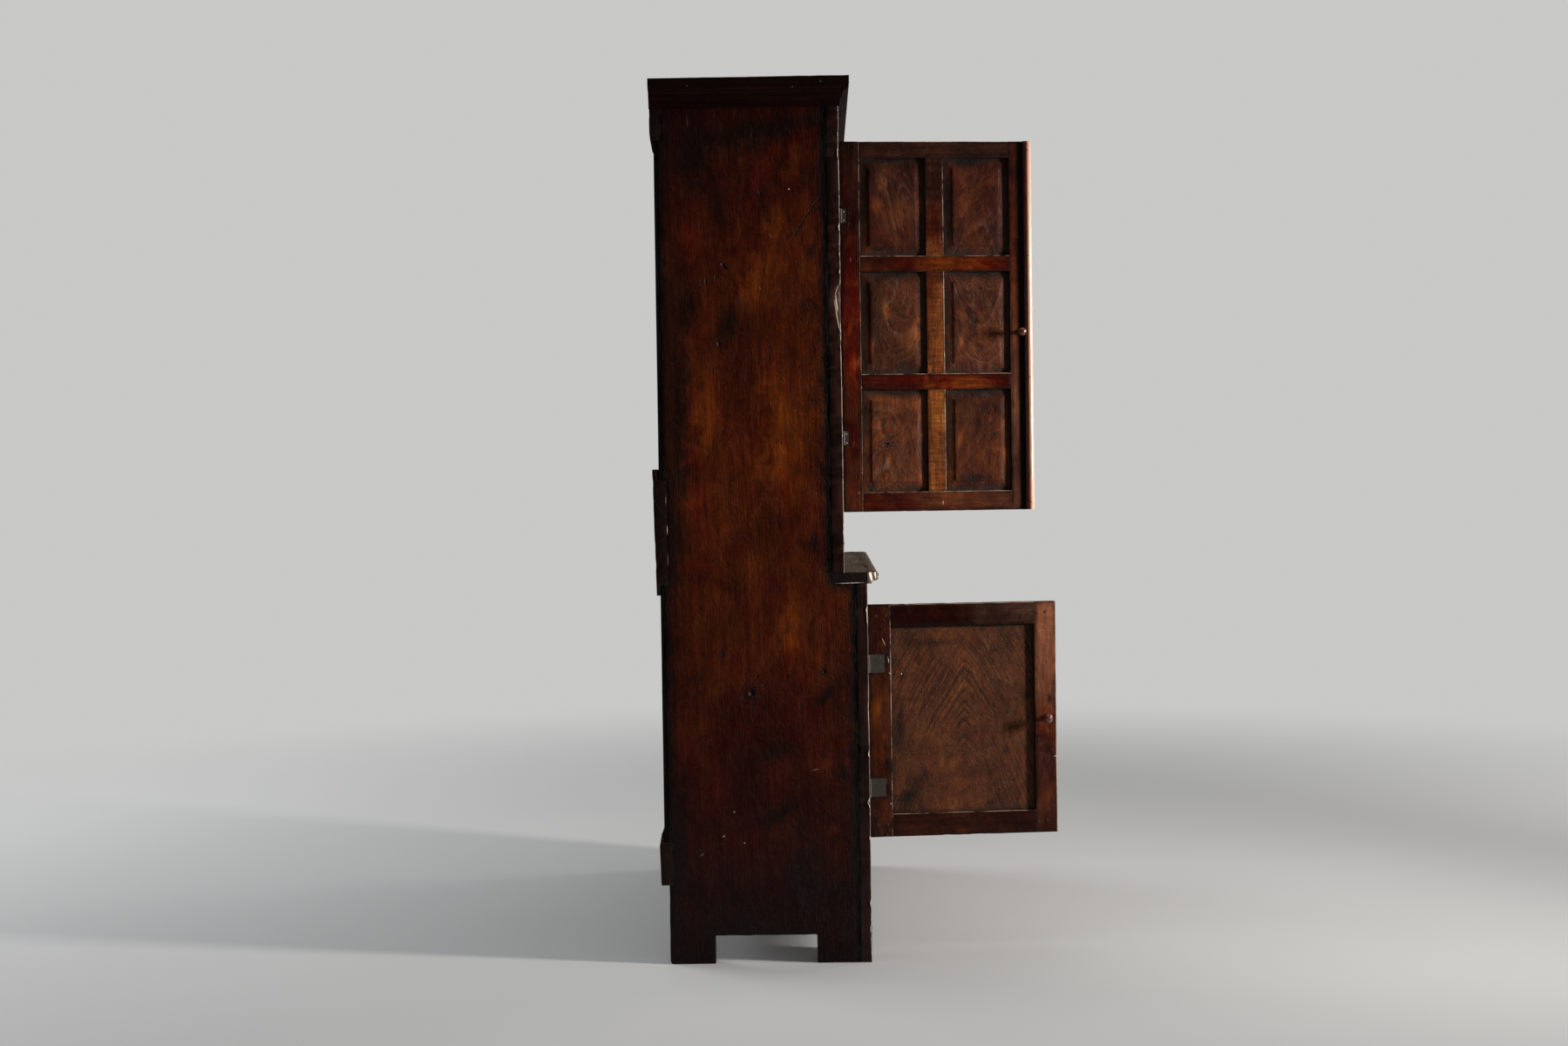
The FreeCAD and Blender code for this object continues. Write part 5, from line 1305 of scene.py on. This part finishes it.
def nails_and_pegs():
    for side, sign in (("left", -1.0), ("right", 1.0)):
        hinge_nails(side, sign)
        door_pegs(side)
        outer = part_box(f"cornice_{side}_return")[0 if side == "left" else 1].x
        places = [(outer, *on_side(u, v)) for u, v in ((789, 101), (909, 104), (941, 98))]
        heads(f"cornice_{side}_nails", "case", places, *CORNICE_NAIL, IRON, "iron", Vector((sign, 0.0, 0.0)))
    low, high = shut_box("upper_left_door_cover_strip")
    x = (low.x + high.x) / 2
    places = [(x, low.y, low.z + (high.z - low.z) * k) for k in (0.02, 0.36, 0.69, 0.975)]
    heads("cover_strip_nails", "upper_left_door", places, *STRIP_NAIL, IRON, "iron")


def fittings():
    metal = Board(0.0, 0.0003, 0.0002)
    dress("case_hinges", metal, IRON, "iron")
    for side in ("left", "right"):
        dress(f"upper_{side}_door_hinge_leaves", metal, IRON, "iron")
        dress(f"lower_{side}_door_hinge_leaves", metal, PLATE_IRON, "iron")
        for stage in ("upper", "lower"):
            knob = Board(0.0, 0.0, 0.0, heart=(0.004, 0.006), lean=(0.0, 0.0))
            dress(f"{stage}_{side}_door_knob", knob, KNOB_WOOD, "turned")
    for stage in ("upper", "lower"):
        dress(f"{stage}_left_door_catch", metal, IRON, "iron")
        dress(f"{stage}_right_door_bolt", metal, IRON, "iron")
        dress(f"{stage}_right_door_bolt_staples", metal, IRON, "iron")


# Colour and strength of the surroundings: what lights the object, what shines on it, what the camera sees
SKY = {
    "light": ((0.93, 0.96, 1.0), 0.17),
    "shine": ((0.95, 0.97, 1.0), 0.06),
    "wall": ((0.58, 0.58, 0.575), 1.0),
}
# Of each lamp: place, target, width and height, power, colour, spread in degrees
LAMPS = {
    "window": ((-1.4, -3.9, 1.55), (-0.3, 0.0, 1.0), (0.4, 1.0), 46.0, (1.0, 0.97, 0.93), 70.0),
    "front": ((1.6, -3.8, 1.9), (0.0, 0.0, 1.0), (1.0, 2.0), 50.0, (1.0, 0.95, 0.90), 180.0),
    "back": ((1.8, 4.2, 2.6), (0.0, 0.4, 1.0), (2.4, 2.4), 110.0, (0.96, 0.98, 1.0), 180.0),
    "overhead": ((0.0, 0.4, 4.6), (0.0, 0.1, 0.0), (3.0, 3.0), 60.0, (1.0, 1.0, 1.0), 180.0),
}


def surroundings():
    world = bpy.data.worlds.new("studio")
    bpy.context.scene.world = world
    world.use_nodes = True
    nodes, links = world.node_tree.nodes, world.node_tree.links
    nodes.clear()
    path = nodes.new("ShaderNodeLightPath")
    shaders = {}
    for name, (color, strength) in SKY.items():
        shaders[name] = nodes.new("ShaderNodeBackground")
        shaders[name].inputs[0].default_value = (*color, 1.0)
        shaders[name].inputs[1].default_value = strength
    mixed = shaders["light"]
    for ray, name in (("Is Glossy Ray", "shine"), ("Is Camera Ray", "wall")):
        both = nodes.new("ShaderNodeMixShader")
        links.new(path.outputs[ray], both.inputs[0])
        links.new(mixed.outputs[0], both.inputs[1])
        links.new(shaders[name].outputs[0], both.inputs[2])
        mixed = both
    links.new(mixed.outputs[0], nodes.new("ShaderNodeOutputWorld").inputs[0])


def softbox(name, place, target, size, power, color, spread):
    lamp = bpy.data.lights.new(name, "AREA")
    lamp.spread = math.radians(spread)
    lamp.shape = "RECTANGLE"
    lamp.size, lamp.size_y = size
    lamp.energy = power
    lamp.color = color
    box = bpy.data.objects.new(name, lamp)
    box.location = place
    box.rotation_mode = "QUATERNION"
    box.rotation_quaternion = (Vector(target) - Vector(place)).to_track_quat("-Z", "Y")
    box.visible_camera = False
    bpy.context.scene.collection.objects.link(box)


def studio():
    bpy.ops.mesh.primitive_circle_add(vertices=96, radius=40.0, fill_type="NGON", location=(0, 0, 0))
    floor = bpy.context.object
    floor.name = "studio_floor"
    floor.data.materials.append(floor_material())
    surroundings()
    for name, how in LAMPS.items():
        softbox(name, *how)


def camera():
    """The photograph's camera, worked out from the vanishing point and the scale of the near side."""
    lo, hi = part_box("left_side_board")
    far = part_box("right_side_board")[1]
    width = far.x - lo.x
    distance = width * FAR_SHARE / (1.0 - FAR_SHARE)
    focal = distance / PIXEL
    off = Vector((VANISHING.x - PHOTO_WIDTH / 2, PHOTO_HEIGHT / 2 - VANISHING.y))
    x_axis = Vector((off.x, off.y, -focal)).normalized()
    z_axis = Vector((-math.sin(LEAN), math.cos(LEAN), 0.0))
    z_axis = (z_axis - x_axis * z_axis.dot(x_axis)).normalized()
    y_axis = z_axis.cross(x_axis)
    to_camera = Matrix((x_axis, y_axis, z_axis)).transposed()
    data = bpy.data.cameras.new("photo_camera")
    data.sensor_width = SENSOR
    data.lens = focal * SENSOR / PHOTO_WIDTH
    cam = bpy.data.objects.new("photo_camera", data)
    eye = Vector((lo.x - distance, hi.y - EYE_FROM_BACK, EYE_HEIGHT))
    cam.matrix_world = Matrix.Translation(eye) @ to_camera.transposed().to_4x4()
    bpy.context.scene.collection.objects.link(cam)
    bpy.context.scene.camera = cam


for build in (sides, face_frame, waist, back, level_boards, cornice_and_pegs, doors, fittings, nails_and_pegs,
              studio, camera):
    build()
bpy.context.scene.view_settings.view_transform = "Standard"
